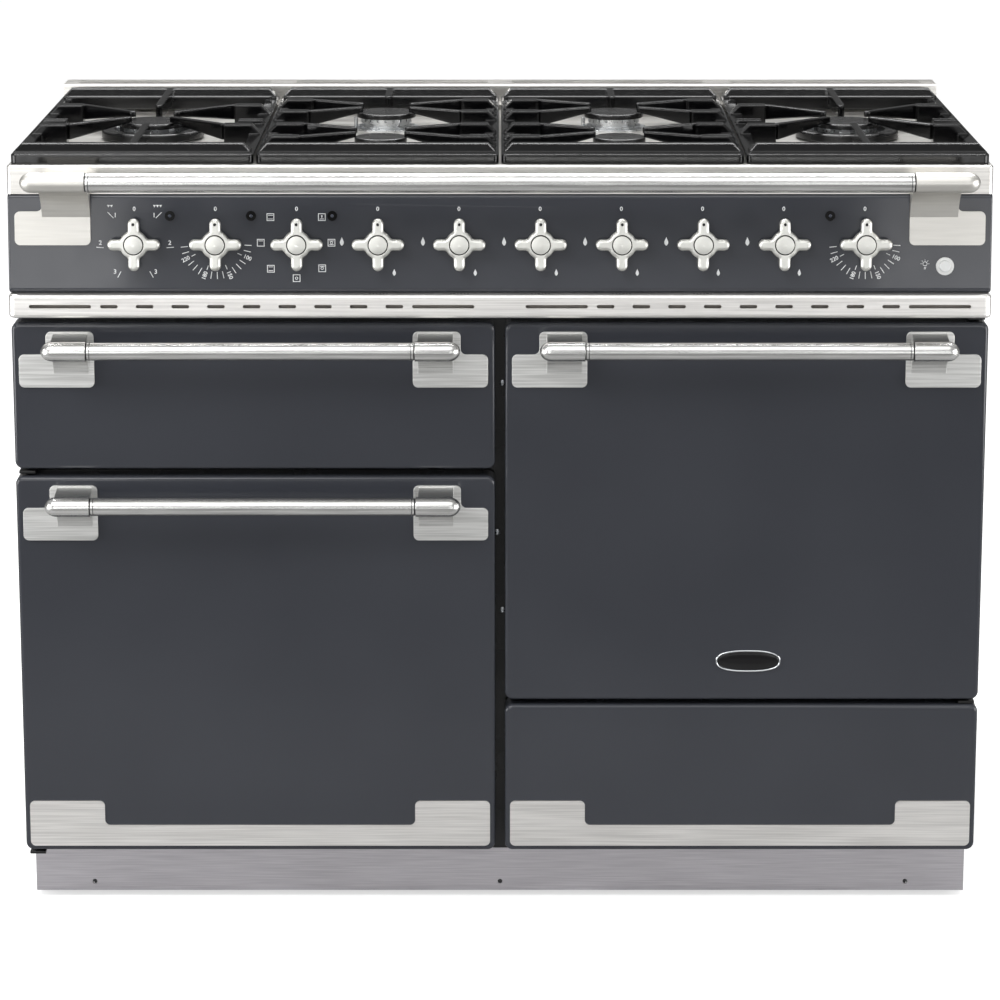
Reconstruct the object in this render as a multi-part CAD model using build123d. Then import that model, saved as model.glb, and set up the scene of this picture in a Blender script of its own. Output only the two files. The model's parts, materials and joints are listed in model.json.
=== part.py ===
from build123d import *
import os
from math import atan2, cos, degrees, hypot, sin

# Dual fuel range cooker, 110 cm class, as separate pieces.
# Millimetres, +Z up, front towards -Y, origin on the floor under the middle of the whole cooker.

# Overall sizes
WIDTH = 1092.0
SIDE_SETBACK = 6.0
BODY_DEPTH = 600.0
SHEET = 2.0
RUNNING_GAP = 0.3

# Shell
TRAY_HEIGHT = 20.0
BACK_LIP = 14.0
LOUVRE_COLUMNS = 11
LOUVRE_ROWS = 3
LOUVRE_FROM_EDGE = 122.0
LOUVRE_BRIDGE = 18.0
LOUVRE_ROW_PITCH = 16.0
LOUVRE_HEIGHT = 7.0
LOUVRE_DROP = 70.0
PLINTH_RETURN = 60.0
PLINTH_HOLE_RADIUS = 2.8
PLINTH_HOLE_RISE = 11.0
PLINTH_HOLE_FROM_EDGE = 74.0
FOOT_FROM_SIDE = 60.0
FOOT_FROM_END = 70.0
FOOT_PAD_RADIUS = 21.0
FOOT_PAD_HEIGHT = 9.0
FOOT_PAD_ROUND = 3.0
FOOT_STEM_RADIUS = 6.0
FRAME_SIDE = 40.0
FRAME_BAR = 10.0

# Front rail
RAIL_DIAMETER = 22.5
RAIL_STANDOFF = 65.0
RAIL_END_SETBACK = 22.5
RAIL_END_LENGTH = 71.0
RAIL_STEP = 0.5
RAIL_BELOW_HOB = 9.5
RAIL_FOOT_UP = -1.5
RAIL_TAB_HEIGHT = 14.0
RAIL_ARM_RISE = 18.0

# Heights
FLOOR_GAP = 8.0
CHASSIS_BOTTOM = 26.0
PLINTH_TOP = 60.0
DOOR_BOTTOM = 70.0
DOOR_STACK = 619.0
DOOR_TOP_GAP = 8.0
VENT_HEIGHT = 27.0
PANEL_HEIGHT = 110.0
HOB_BAND = 32.0

# Doors and drawer
CENTRE_GAP = 11.0
GRILL_DOOR_HEIGHT = 168.0
LEFT_DOOR_GAP = 8.5
DRAWER_HEIGHT = 174.5
RIGHT_DOOR_GAP = 6.0
DOOR_DEPTH = 36.0
DOOR_CORNER = 9.0
DOOR_EDGE = 4.5
SEAL_GAP = 4.0
SEAL_WIDTH = 10.0
SEAL_MARGIN = 6.0
PLUG_DEPTH = 6.0
PLUG_INSET = 14.0
HINGE_INSET = 8.0
HINGE_PIN_RADIUS = 3.0
HINGE_PIN_GAP = 0.08
HINGE_PIN_REACH = 14.0
HINGE_LEAF = 3.0
HINGE_LEAF_WIDTH = 18.0
HINGE_LEAF_GAP = 2.5
GRILL_HINGE_RISE = 7.0
GRILL_ARM_WIDTH = 10.0
GRILL_ARM_HEIGHT = 9.0
GRILL_ARM_FROM_EDGE = 70.0
GRILL_LUG = 8.0

# Door handles and kick trims
HANDLE_INSET = 8.0
HANDLE_DROP = 10.0
PLATE_WIDTH = 84.0
PLATE_HEIGHT = 37.5
TAB_WIDTH = 53.5
TAB_HEIGHT = 26.0
PLATE_THICK = 3.0
PLATE_CORNER = 6.0
BAR_DIAMETER = 20.0
BAR_STANDOFF = 50.0
CASTING_DIAMETER = 22.0
CASTING_LENGTH = 50.0
BULLET_LENGTH = 13.0
BULLET_SWEEP = 82.0
GROOVE = 1.5
ARM_WIDTH = 45.0
ARM_HALF = 6.0
ARM_RISE = 7.0
TRIM_INSET = 6.0
TRIM_HEIGHT = 25.0
TRIM_TAB_WIDTH = 86.0
TRIM_TAB_HEIGHT = 54.0
TRIM_THICK = 1.5

# Cavities
OVEN_WIDTH = 430.0
OVEN_HEIGHT = 370.0
OVEN_ABOVE_DOOR_BOTTOM = 36.0
GRILL_HEIGHT = 120.0
GRILL_ABOVE_DOOR_BOTTOM = 28.0
CAVITY_DEPTH = 420.0
CAVITY_CORNER = 14.0
ROD_RADIUS = 2.5
LADDER_BAR = 4.0
LADDER_END = 40.0
RUNG_REACH = 16.0
SHELF_CLEAR = 3.0
SHELF_BARS = 13
SHELF_LEVELS = (120.0, 245.0)
LADDER_FROM_FRONT = 30.0
LADDER_FROM_COVER = 14.0
FAN_COVER_SIZE = 300.0
FAN_COVER_DEPTH = 42.0
FAN_COVER_SLOTS = 16
FAN_COVER_SLOT = 6.0
FAN_RADIUS = 72.0
FAN_BLADES = 12
FAN_BLADE_THICK = 1.6
FAN_BLADE_WIDTH = 20.0
FAN_BLADE_TURN = 25.0
FAN_PLATE = (9.0, 11.0)
FAN_HUB = (6.0, 24.0)
FAN_HUB_RADIUS = 9.0
FAN_MIDDLE = 20.0
SHAFT_RADIUS = 4.0
SHAFT_GAP = 0.06
SHAFT_DEPTH = 30.0
MOTOR_RADIUS = 40.0
MOTOR_LENGTH = 62.0
MOTOR_BRACKET = (104.0, 30.0, 3.0)
ELEMENT_RADIUS = 3.5
ELEMENT_DROP = 22.0
ELEMENT_FROM_FRONT = 60.0
ELEMENT_FROM_BACK = 50.0
ELEMENT_FROM_SIDE = 30.0
ELEMENT_BEND = 0.45
RING_RADIUS = 92.0
RING_FORWARD = 24.0
RING_LEG_ASIDE = 14.0
RING_LEG_LAP = 1.5
GRILL_LOOPS = 5
GRILL_PAN_DEPTH = 360.0
GRILL_PAN_HEIGHT = 34.0
GRILL_PAN_FROM_FRONT = 24.0
GRILL_LEDGE = 12.0
GRILL_LEDGE_RISE = 44.0

# Drawer box
DRAWER_JAMB = 22.25
DRAWER_SILL = 14.0
DRAWER_HEAD = 10.0
DRAWER_SIDE_CLEAR = 3.0
DRAWER_BOX_DEPTH = 430.0
DRAWER_BOX_HEIGHT = 132.0
DRAWER_BOX_RISE = 22.0
RUNNER_LAP = 8.0
RUNNER_HEIGHT = 24.0

# Control panel
PANEL_LEAN = 8.0
PANEL_ROUND = 5.0
PANEL_SIDE_ROUND = 2.5
VENT_FORWARD = 18.0
VENT_ROUND = 4.0
VENT_END_ROUND = 8.0
VENT_SLOT = 4.0
VENT_SHORT_SLOT = 19.6
VENT_LONG_SLOT = 69.0
VENT_SLOTS_FROM_EDGE = 23.0
VENT_SHORT_COUNT = 9
VENT_BAFFLE_BACK = 7.0
VENT_BAFFLE_GAP = 6.0
FIRST_KNOB_FROM_EDGE = 141.0
KNOB_SPAN = 58.0
KNOB_ARM = 12.5
KNOB_ARM_THICK = 11.0
KNOB_HUB_RADIUS = 15.8
KNOB_BLEND = 4.0
KNOB_TOP_ROUND = 4.0
KNOB_UNDER_ROUND = 2.5
KNOB_NECK_RADIUS = 12.0
KNOB_HEIGHT = 21.0
KNOB_GAP = 1.0
CAP_RADIUS = 10.0
CAP_STEP = 1.0
CAP_DOME = 0.9
CAP_GROOVE = 1.3
CAP_GROOVE_DEPTH = 1.0
POINTER_RADIUS = 1.7
SPINDLE_RADIUS = 4.0
SPINDLE_GAP = 0.06
SPINDLE_DEPTH = 20.0
SPINDLE_HOLE = 1.0
BUSH_RADIUS = 8.0
BUSH_LENGTH = 12.0
TAP_RADIUS = 13.0
TAP_LENGTH = 46.0
TAP_SADDLE = 18.2
MANIFOLD_RADIUS = 9.0
MANIFOLD_DROP = 28.0
MANIFOLD_GAP = 0.2
SWITCH_SIZE = 38.0
SWITCH_LENGTH = 30.0
NEON_RADIUS = 5.5
NEON_BODY_RADIUS = 3.7
NEON_BODY_LENGTH = 22.0
NEON_RIM_HEIGHT = 2.2
NEON_WELL_RADIUS = 3.3
NEON_WELL_FLOOR = 1.2
NEON_LENS_RADIUS = 2.2
NEON_LENS_HEIGHT = 2.4
NEON_RISE = 31.0
NEON_ASIDE = 39.0
BUTTON_FROM_EDGE = 52.0
BUTTON_DROP = 25.0
BUTTON_RADIUS = 6.5
BUTTON_GAP = 0.1
BUTTON_STEM = 8.0
BUTTON_STANDS = 5.5
BUTTON_ROUND = 1.2
BEZEL_RADIUS = 10.0
BEZEL_HEIGHT = 3.0
BEZEL_ROUND = 0.6
BEZEL_BODY_RADIUS = 8.0
BEZEL_BODY_LENGTH = 30.0
BUTTON_WELL = 12.0
BUTTON_TRAVEL = 3.0

# Hob
HOB_RIM = 16.0
HOB_RECESS = 6.0
HOB_CORNER = 5.0
HOB_EDGE = 2.5
REAR_TRIM_DEPTH = 52.0
REAR_TRIM_HEIGHT = 21.0
REAR_SLOT_BRIDGE = 30.0
REAR_SLOT_PITCH = 16.0
REAR_SLOT_WIDTH = 7.0

# Pan supports
SUPPORT_COUNT = 4
SUPPORT_FROM_EDGE = 3.5
SUPPORT_GAP = 3.0
SUPPORT_START = 8.0
SUPPORT_DEPTH = 512.0
SUPPORT_HEIGHT = 22.0
SUPPORT_RAIL = 15.0
SUPPORT_RAIL_HEIGHT = 11.0
SUPPORT_RAIL_ROUND = 1.5
SUPPORT_CORNER = 7.0
UPPER_RAIL_STEP = 3.0
UPPER_RAIL_DEPTH = 26.0
UPPER_RAIL_BAND = 2.5
CROSS_RAIL_FROM_END = 46.0
CROSS_RAIL_WIDTH = 8.0
CROSS_RAIL_ROUND = 3.0
FINGER_THICK = 8.0
FINGER_TIP_HEIGHT = 6.5
FINGER_ROOT_DROP = 18.0
FINGER_ROUND = 1.5
END_FINGER_HEIGHT = 16.0
BLOCK_LENGTH = 44.0
BLOCK_WIDTH = 20.0
BLOCK_SETBACK = 2.0
RIB_LENGTH = 34.0
RIB_WIDTH = 5.0
RIB_HEIGHT = 15.5
RIB_ASIDE = 7.0
OUTER_SPREAD = 86.0
INNER_SPREAD = 52.0
SIDE_TIP_RADIUS = 36.0
END_TIP_RADIUS = 80.0

# Burners, with heights above the sunk deck
OUTER_BURNER_DEPTH = 264.0
FRONT_BURNER_DEPTH = 132.0
REAR_BURNER_DEPTH = 346.0
CUP_DROP = 34.0
CUP_RIM = 2.0
SPARK_RADIUS = 2.2
HEAD_BAND = 6.0
HEAD_NECK = 3.0
HEAD_FOOT = 1.5
HEAD_FOOT_TOP = 4.5
HEAD_NOTCHES = 20
HEAD_NOTCH = (7.0, 2.4, 4.0)
CAP_THICK = 6.0
CAP_EDGE_ROUND = 2.4
OUTER_BURNER = {"cup": 46.0, "rim": 52.0, "spark": 41.0, "head": 34.5, "cap": 38.0, "crown": 14.0}
REAR_BURNER = {"cup": 27.0, "rim": 39.5, "spark": 36.5, "head": 30.5, "cap": 35.0, "crown": 14.0}
FRONT_BURNER = {"cup": 23.0, "rim": 35.0, "spark": 32.0, "head": 26.0, "cap": 30.0, "crown": 14.0}
FLAME_RING_RADIUS = 60.0
FLAME_RING_BORE = 45.0
FLAME_RING_TOP = 11.0
FLAME_RING_ROUND = 3.0
FEED_RADIUS = 4.0
FEED_BEND = 9.0
FEED_STEP = 11.0
FEED_REACH = 24.0
FEED_DROP = 24.0
FEED_ORDER = (0, 2, 1, 3, 4, 5)

# Gas inlet and cable entry at the back
INLET_BORE_RADIUS = 9.3
INLET_BORE_LENGTH = 15.0
INLET_OUTER_RADIUS = 15.0
INLET_FROM_EDGE = 76.0
MANIFOLD_TAIL = 30.0
CABLE_ENTRY_RADIUS = 12.0
CABLE_ENTRY_FROM_EDGE = 106.0
CABLE_ENTRY_Z = 120.0

# Places worked out from the sizes above
OVERALL_DEPTH = BODY_DEPTH + RAIL_STANDOFF + RAIL_DIAMETER / 2
BACK_Y = OVERALL_DEPTH / 2
FRONT_Y = BACK_Y - BODY_DEPTH
SKIN_BACK_Y = FRONT_Y + DOOR_DEPTH - SHEET
DOOR_BACK_Y = FRONT_Y + DOOR_DEPTH
FRAME_Y = DOOR_BACK_Y + SEAL_GAP
CAVITY_BACK_Y = FRAME_Y + SHEET + CAVITY_DEPTH
HALF = WIDTH / 2
SIDE = HALF - SIDE_SETBACK
COLUMN = (HALF + CENTRE_GAP / 2) / 2
COLUMN_WIDTH = HALF - CENTRE_GAP / 2
RAIL_LENGTH = WIDTH - 2 * RAIL_END_SETBACK
SUPPORT_PITCH = (WIDTH - 2 * SUPPORT_FROM_EDGE + SUPPORT_GAP) / SUPPORT_COUNT
SUPPORT_WIDTH = SUPPORT_PITCH - SUPPORT_GAP
BUTTON_X = HALF - BUTTON_FROM_EDGE
INLET_X = HALF - INLET_FROM_EDGE
CABLE_ENTRY_X = CABLE_ENTRY_FROM_EDGE - HALF
DOOR_TOP = DOOR_BOTTOM + DOOR_STACK
LEFT_DOOR_TOP = DOOR_TOP - GRILL_DOOR_HEIGHT - LEFT_DOOR_GAP
GRILL_DOOR_BOTTOM = DOOR_TOP - GRILL_DOOR_HEIGHT
DRAWER_TOP = DOOR_BOTTOM + DRAWER_HEIGHT
RIGHT_DOOR_BOTTOM = DRAWER_TOP + RIGHT_DOOR_GAP
VENT_BOTTOM = DOOR_TOP + DOOR_TOP_GAP
PANEL_BOTTOM = VENT_BOTTOM + VENT_HEIGHT
PANEL_TOP = PANEL_BOTTOM + PANEL_HEIGHT
HOB_TOP = PANEL_TOP + HOB_BAND
DECK = HOB_TOP - HOB_RECESS
LEFT_OVEN_Z = DOOR_BOTTOM + OVEN_ABOVE_DOOR_BOTTOM
RIGHT_OVEN_Z = RIGHT_DOOR_BOTTOM + OVEN_ABOVE_DOOR_BOTTOM
GRILL_Z = GRILL_DOOR_BOTTOM + GRILL_ABOVE_DOOR_BOTTOM
PANEL_TILT = atan2(PANEL_LEAN, PANEL_HEIGHT)
PANEL_OUT = Vector(0, -cos(PANEL_TILT), sin(PANEL_TILT))
PANEL_UP = Vector(0, sin(PANEL_TILT), cos(PANEL_TILT))
PANEL_MID = Vector(0, FRONT_Y - PANEL_LEAN / 2, (PANEL_BOTTOM + PANEL_TOP) / 2)
RAIL_Y = FRONT_Y - RAIL_STANDOFF
RAIL_Z = HOB_TOP - RAIL_BELOW_HOB

LEFT_DOOR = (-HALF, -CENTRE_GAP / 2, DOOR_BOTTOM, LEFT_DOOR_TOP)
GRILL_DOOR = (-HALF, -CENTRE_GAP / 2, GRILL_DOOR_BOTTOM, DOOR_TOP)
RIGHT_DOOR = (CENTRE_GAP / 2, HALF, RIGHT_DOOR_BOTTOM, DOOR_TOP)
DRAWER = (CENTRE_GAP / 2, HALF, DOOR_BOTTOM, DRAWER_TOP)


def cavity(column_x, z, height):
    return (column_x - OVEN_WIDTH / 2, column_x + OVEN_WIDTH / 2, z, z + height)


LEFT_OVEN = cavity(-COLUMN, LEFT_OVEN_Z, OVEN_HEIGHT)
RIGHT_OVEN = cavity(COLUMN, RIGHT_OVEN_Z, OVEN_HEIGHT)
GRILL = cavity(-COLUMN, GRILL_Z, GRILL_HEIGHT)


def node(name, *solids):
    """Writes one sub-part, made of one solid or a group of separate solids."""
    pieces = [s for shape in solids for s in shape.solids()]
    export_step(pieces[0] if len(pieces) == 1 else Compound(children=pieces), f"parts/{name}.step")


def box(x0, x1, y0, y1, z0, z1):
    return Pos((x0 + x1) / 2, (y0 + y1) / 2, (z0 + z1) / 2) * Box(x1 - x0, y1 - y0, z1 - z0)


def facing(x, y, z):
    """Plane through a point with X to the right, Z up and its normal to the front."""
    return Plane(origin=(x, y, z), x_dir=(1, 0, 0), z_dir=(0, -1, 0))


def upright(x, y, z):
    """Plane through a point whose normal is +X, drawn with +Y to the right and Z up."""
    return Plane(origin=(x, y, z), x_dir=(0, 1, 0), z_dir=(1, 0, 0))


def on_panel(x, up=0.0, out=0.0):
    """Plane on the sloping control panel, its normal out of the panel."""
    return Plane(origin=PANEL_MID + Vector(x, 0, 0) + PANEL_UP * up + PANEL_OUT * out,
                 x_dir=(1, 0, 0), z_dir=PANEL_OUT)


def rounded_plate(area, y_front, y_back, radius, inset=0.0):
    """Plate with rounded corners over an area (x0, x1, z0, z1) of the front."""
    x0, x1, z0, z1 = area
    outline = RectangleRounded(x1 - x0 - 2 * inset, z1 - z0 - 2 * inset, radius)
    return extrude(facing((x0 + x1) / 2, y_back, (z0 + z1) / 2) * outline, amount=y_back - y_front)


def pattern(plane, places, shape):
    """Copies of a flat shape at each place on a plane."""
    return Sketch() + [plane * place * shape for place in places]


def turned(plane, radius, low, high):
    """Cylinder along a plane's normal, from one height to another."""
    return extrude(plane.offset(low) * Circle(radius), amount=high - low)


def door_skin(area):
    """Pressed outer skin of a door: a pan that is open at the back, with softened front edges."""
    outer = rounded_plate(area, FRONT_Y, SKIN_BACK_Y, DOOR_CORNER)
    outer = fillet(outer.faces().sort_by(Axis.Y)[0].edges(), DOOR_EDGE)
    return outer - rounded_plate(area, FRONT_Y + SHEET, SKIN_BACK_Y, DOOR_CORNER - SHEET, SHEET)


def door_inner(area, mouth):
    """Inner panel that closes the skin, with a raised field that enters the cavity's mouth."""
    plate = rounded_plate(area, SKIN_BACK_Y, DOOR_BACK_Y, DOOR_CORNER, SHEET / 2)
    if mouth is None:
        return plate
    return plate + rounded_plate(mouth, DOOR_BACK_Y, DOOR_BACK_Y + PLUG_DEPTH, CAVITY_CORNER, PLUG_INSET)


def bullet_bar(x_end, x_inner, y, z, radius):
    """Bar end along X whose outer end is rounded like a bullet, down to a small flat."""
    length = abs(x_inner - x_end)
    nose = EllipticalCenterArc((BULLET_LENGTH, 0), BULLET_LENGTH, radius,
                               start_angle=90, arc_size=BULLET_SWEEP)
    tip = nose @ 1
    side = Polyline((BULLET_LENGTH, radius), (length, radius), (length, 0), (tip.X, 0), tip)
    outline = make_face([nose, *side.edges()])
    turn = 1 if x_inner > x_end else -1
    return Plane(origin=(x_end, y, z), x_dir=(turn, 0, 0), z_dir=(0, 0, 1)) * revolve(outline, Axis.X)


def grooved_bar(x0, x1, y, z, radius):
    """Straight bar along X with a narrow groove at each end, where its castings meet it."""
    body = turned(upright(0, y, z), radius, x0 + GROOVE, x1 - GROOVE)
    return body + turned(upright(0, y, z), radius - GROOVE, x0, x1)


def step_plate(mirrored, tab_height):
    """L-shaped bracket outline: a low wide foot with a narrower tab above its inner side."""
    top = PLATE_HEIGHT + tab_height
    step = PLATE_WIDTH - TAB_WIDTH
    points = [(0, 0), (PLATE_WIDTH, 0), (PLATE_WIDTH, top), (step, top),
              (step, PLATE_HEIGHT), (0, PLATE_HEIGHT)]
    outline = make_face(Polyline(*points, close=True))
    outline = fillet(outline.vertices(), PLATE_CORNER)
    return mirror(outline, about=Plane.YZ) if mirrored else outline


def sweep_line(bar_y, bar_z, wall_y, wall_z):
    """Quarter ellipse in a side view: it leaves a bar level and meets an upright wall along the wall."""
    rise = bar_z - wall_z
    start = 0 if rise > 0 else 270
    return EllipticalCenterArc((bar_y, wall_z), wall_y - bar_y, abs(rise), start_angle=start, arc_size=90)


def arm_profile(wall_y, low, high, bar_y, bar_z):
    """Side view of a cast arm that grows out of a bracket plate and sweeps forward into a bar."""
    under = sweep_line(bar_y, bar_z - ARM_HALF, wall_y, low)
    over = sweep_line(bar_y, bar_z + ARM_HALF, wall_y, high)
    tip = Line((bar_y, bar_z - ARM_HALF), (bar_y, bar_z + ARM_HALF))
    return make_face([under, over, tip, Line((wall_y, low), (wall_y, high))])


def door_handle(area):
    """Two bracket castings with swept arms and bullet ends, and the bar between them."""
    x0, x1, _, z1 = area
    foot_z = z1 - HANDLE_DROP - PLATE_HEIGHT - TAB_HEIGHT
    bar_z = z1 - HANDLE_DROP - TAB_HEIGHT / 2
    bar_y = FRONT_Y - BAR_STANDOFF
    profile = arm_profile(FRONT_Y - PLATE_THICK / 2, foot_z + ARM_RISE, z1 - HANDLE_DROP, bar_y, bar_z)
    pieces = []
    for side, edge in ((1, x0 + HANDLE_INSET), (-1, x1 - HANDLE_INSET)):
        plate = extrude(facing(edge, FRONT_Y, foot_z) * step_plate(side < 0, TAB_HEIGHT), amount=PLATE_THICK)
        tab = edge + side * (PLATE_WIDTH - TAB_WIDTH)
        inner = tab + side * CASTING_LENGTH
        last = edge + side * (PLATE_WIDTH - PLATE_CORNER)
        low = min(last, last - side * (ARM_WIDTH - PLATE_CORNER))
        arm = extrude(upright(low, 0, 0) * profile, amount=ARM_WIDTH - PLATE_CORNER)
        pieces.append(plate + arm + bullet_bar(tab, inner, bar_y, bar_z, CASTING_DIAMETER / 2))
    reach = HANDLE_INSET + PLATE_WIDTH - TAB_WIDTH + CASTING_LENGTH
    pieces.append(grooved_bar(x0 + reach, x1 - reach, bar_y, bar_z, BAR_DIAMETER / 2))
    return pieces


def kick_trim(area):
    """Stainless strip along the bottom of a front, with a taller tab at each end."""
    x0, x1, z0, _ = area
    width = x1 - x0 - 2 * TRIM_INSET
    inner = width - TRIM_TAB_WIDTH
    points = [(0, 0), (width, 0), (width, TRIM_TAB_HEIGHT), (inner, TRIM_TAB_HEIGHT), (inner, TRIM_HEIGHT),
              (TRIM_TAB_WIDTH, TRIM_HEIGHT), (TRIM_TAB_WIDTH, TRIM_TAB_HEIGHT), (0, TRIM_TAB_HEIGHT)]
    outline = make_face(Polyline(*points, close=True))
    outline = fillet(outline.vertices(), PLATE_CORNER)
    return extrude(facing(x0 + TRIM_INSET, FRONT_Y, z0 + TRIM_INSET) * outline, amount=TRIM_THICK)


def liner(mouth):
    """Five-sided enamelled cavity that opens through the front frame."""
    start = FRAME_Y + SHEET
    outer = rounded_plate(mouth, start, CAVITY_BACK_Y + SHEET, CAVITY_CORNER + SHEET, -SHEET)
    return outer - rounded_plate(mouth, start, CAVITY_BACK_Y, CAVITY_CORNER)


def shell_parts():
    """Base tray, side panels, back panel, front frame, centre partition, plinth and feet."""
    inside = SIDE - SHEET
    rear = BACK_Y - SHEET
    tray_top = CHASSIS_BOTTOM + TRAY_HEIGHT
    tray = box(-inside, inside, FRAME_Y + SHEET, rear, CHASSIS_BOTTOM, tray_top)
    tray -= box(-inside + SHEET, inside - SHEET, FRAME_Y + 2 * SHEET, rear - SHEET,
                CHASSIS_BOTTOM + SHEET, tray_top)
    node("base_tray", tray)
    for name, side in (("left_side_panel", -1), ("right_side_panel", 1)):
        edges = sorted((side * inside, side * SIDE))
        lip = sorted((side * (inside - BACK_LIP), side * inside))
        sheet = box(*edges, FRAME_Y, rear, CHASSIS_BOTTOM, HOB_TOP - SHEET)
        node(name, sheet + box(*lip, rear - SHEET, rear, tray_top, HOB_TOP - SHEET))
    back = box(-SIDE, SIDE, rear, BACK_Y, CHASSIS_BOTTOM, PANEL_TOP - SHEET)
    louvre_pitch = 2 * (SIDE - LOUVRE_FROM_EDGE) / LOUVRE_COLUMNS
    louvres = pattern(facing(0, BACK_Y, PANEL_TOP - LOUVRE_DROP),
                      GridLocations(louvre_pitch, LOUVRE_ROW_PITCH, LOUVRE_COLUMNS, LOUVRE_ROWS),
                      SlotOverall(louvre_pitch - LOUVRE_BRIDGE, LOUVRE_HEIGHT))
    back -= extrude(louvres, amount=SHEET)
    back -= turned(facing(CABLE_ENTRY_X, BACK_Y, CABLE_ENTRY_Z), CABLE_ENTRY_RADIUS, 0, SHEET)
    back -= turned(facing(INLET_X, BACK_Y, manifold_point().Z), INLET_OUTER_RADIUS + RUNNING_GAP, 0, SHEET)
    node("back_panel", back)
    node("front_frame", front_frame())
    node("centre_partition", box(-SHEET / 2, SHEET / 2, FRAME_Y + SHEET, rear - SHEET, tray_top, DOOR_TOP))
    face = box(-SIDE, SIDE, FRAME_Y - SHEET, FRAME_Y, FLOOR_GAP, PLINTH_TOP)
    for side in (-1, 1):
        face += box(*sorted((side * SIDE, side * (SIDE - SHEET))), FRAME_Y - SHEET, FRAME_Y + PLINTH_RETURN,
                    FLOOR_GAP, CHASSIS_BOTTOM - RUNNING_GAP)
    holes = pattern(facing(0, FRAME_Y, FLOOR_GAP + PLINTH_HOLE_RISE),
                    GridLocations(HALF - PLINTH_HOLE_FROM_EDGE, 1, 3, 1), Circle(PLINTH_HOLE_RADIUS))
    node("plinth", face - extrude(holes, amount=SHEET))
    feet = []
    for x in (-SIDE + FOOT_FROM_SIDE, SIDE - FOOT_FROM_SIDE):
        for y in (FRAME_Y + FOOT_FROM_END, BACK_Y - FOOT_FROM_END):
            foot = Plane(origin=(x, y, 0))
            pad = turned(foot, FOOT_PAD_RADIUS, 0, FOOT_PAD_HEIGHT)
            pad = fillet(pad.edges().group_by(Axis.Z)[-1], FOOT_PAD_ROUND)
            feet.append(pad + turned(foot, FOOT_STEM_RADIUS, FOOT_PAD_HEIGHT, CHASSIS_BOTTOM))
    node("levelling_feet", *feet)


def drawer_mouth():
    return (DRAWER[0] + DRAWER_JAMB, DRAWER[1] - DRAWER_JAMB,
            DOOR_BOTTOM + DRAWER_SILL, DRAWER_TOP - DRAWER_HEAD)


def front_frame():
    """Black enamelled plate behind the doors, with a window for each cavity and the controls."""
    plate = box(-SIDE + SHEET, SIDE - SHEET, FRAME_Y, FRAME_Y + SHEET, CHASSIS_BOTTOM, DECK - SHEET)
    windows = [LEFT_OVEN, RIGHT_OVEN, GRILL, drawer_mouth()]
    windows.append((-SIDE + FRAME_SIDE, SIDE - FRAME_SIDE, PANEL_BOTTOM + FRAME_BAR, PANEL_TOP - FRAME_BAR))
    for window in windows:
        plate -= rounded_plate(window, FRAME_Y, FRAME_Y + SHEET, CAVITY_CORNER)
    return plate


def manifold_point():
    """Middle of the gas manifold behind the panel."""
    return PANEL_MID - PANEL_UP * MANIFOLD_DROP - PANEL_OUT * (SHEET + BUSH_LENGTH + TAP_LENGTH / 2)


def seals():
    rings = []
    for mouth in (LEFT_OVEN, RIGHT_OVEN, GRILL):
        front = DOOR_BACK_Y + RUNNING_GAP
        outer = rounded_plate(mouth, front, FRAME_Y, CAVITY_CORNER + SEAL_WIDTH, -SEAL_MARGIN - SEAL_WIDTH)
        rings.append(outer - rounded_plate(mouth, front, FRAME_Y, CAVITY_CORNER, -SEAL_MARGIN))
    node("oven_seals", *rings)


def hinge_x(side):
    return side * (HALF - HINGE_INSET)


def door_hinges():
    """Leaves on the front frame: upright pins for the oven doors, arms with cross pins for the grill door."""
    pieces = []
    for side, area in ((-1, LEFT_DOOR), (1, RIGHT_DOOR)):
        x = hinge_x(side)
        leaf_x = sorted((x + side * HINGE_INSET / 2, x - side * (HINGE_LEAF_WIDTH - HINGE_INSET / 2)))
        for z, inward in ((area[2] - HINGE_LEAF_GAP, 1), (area[3] + HINGE_LEAF_GAP, -1)):
            leaf = box(*leaf_x, FRONT_Y + HINGE_INSET / 2, FRAME_Y, *sorted((z, z - inward * HINGE_LEAF)))
            pin = turned(Plane(origin=(x, FRONT_Y + HINGE_INSET, z), z_dir=(0, 0, inward)),
                         HINGE_PIN_RADIUS, 0, HINGE_LEAF_GAP + HINGE_PIN_REACH)
            pieces.append(leaf + pin)
    z = GRILL_DOOR_BOTTOM + GRILL_HINGE_RISE
    y = FRONT_Y + HINGE_INSET
    reach = GRILL_ARM_WIDTH / 2 + RUNNING_GAP + GRILL_LUG
    for x in grill_arms():
        arm = box(x - GRILL_ARM_WIDTH / 2, x + GRILL_ARM_WIDTH / 2, y, FRAME_Y,
                  z - GRILL_ARM_HEIGHT / 2, z + GRILL_ARM_HEIGHT / 2)
        arm += turned(upright(x, y, z), GRILL_ARM_HEIGHT / 2, -GRILL_ARM_WIDTH / 2, GRILL_ARM_WIDTH / 2)
        pieces.append(arm + turned(upright(x, y, z), HINGE_PIN_RADIUS, -reach, reach))
    node("door_hinges", *pieces)


def grill_arms():
    return (GRILL_DOOR[0] + GRILL_ARM_FROM_EDGE, GRILL_DOOR[1] - GRILL_ARM_FROM_EDGE)


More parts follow.
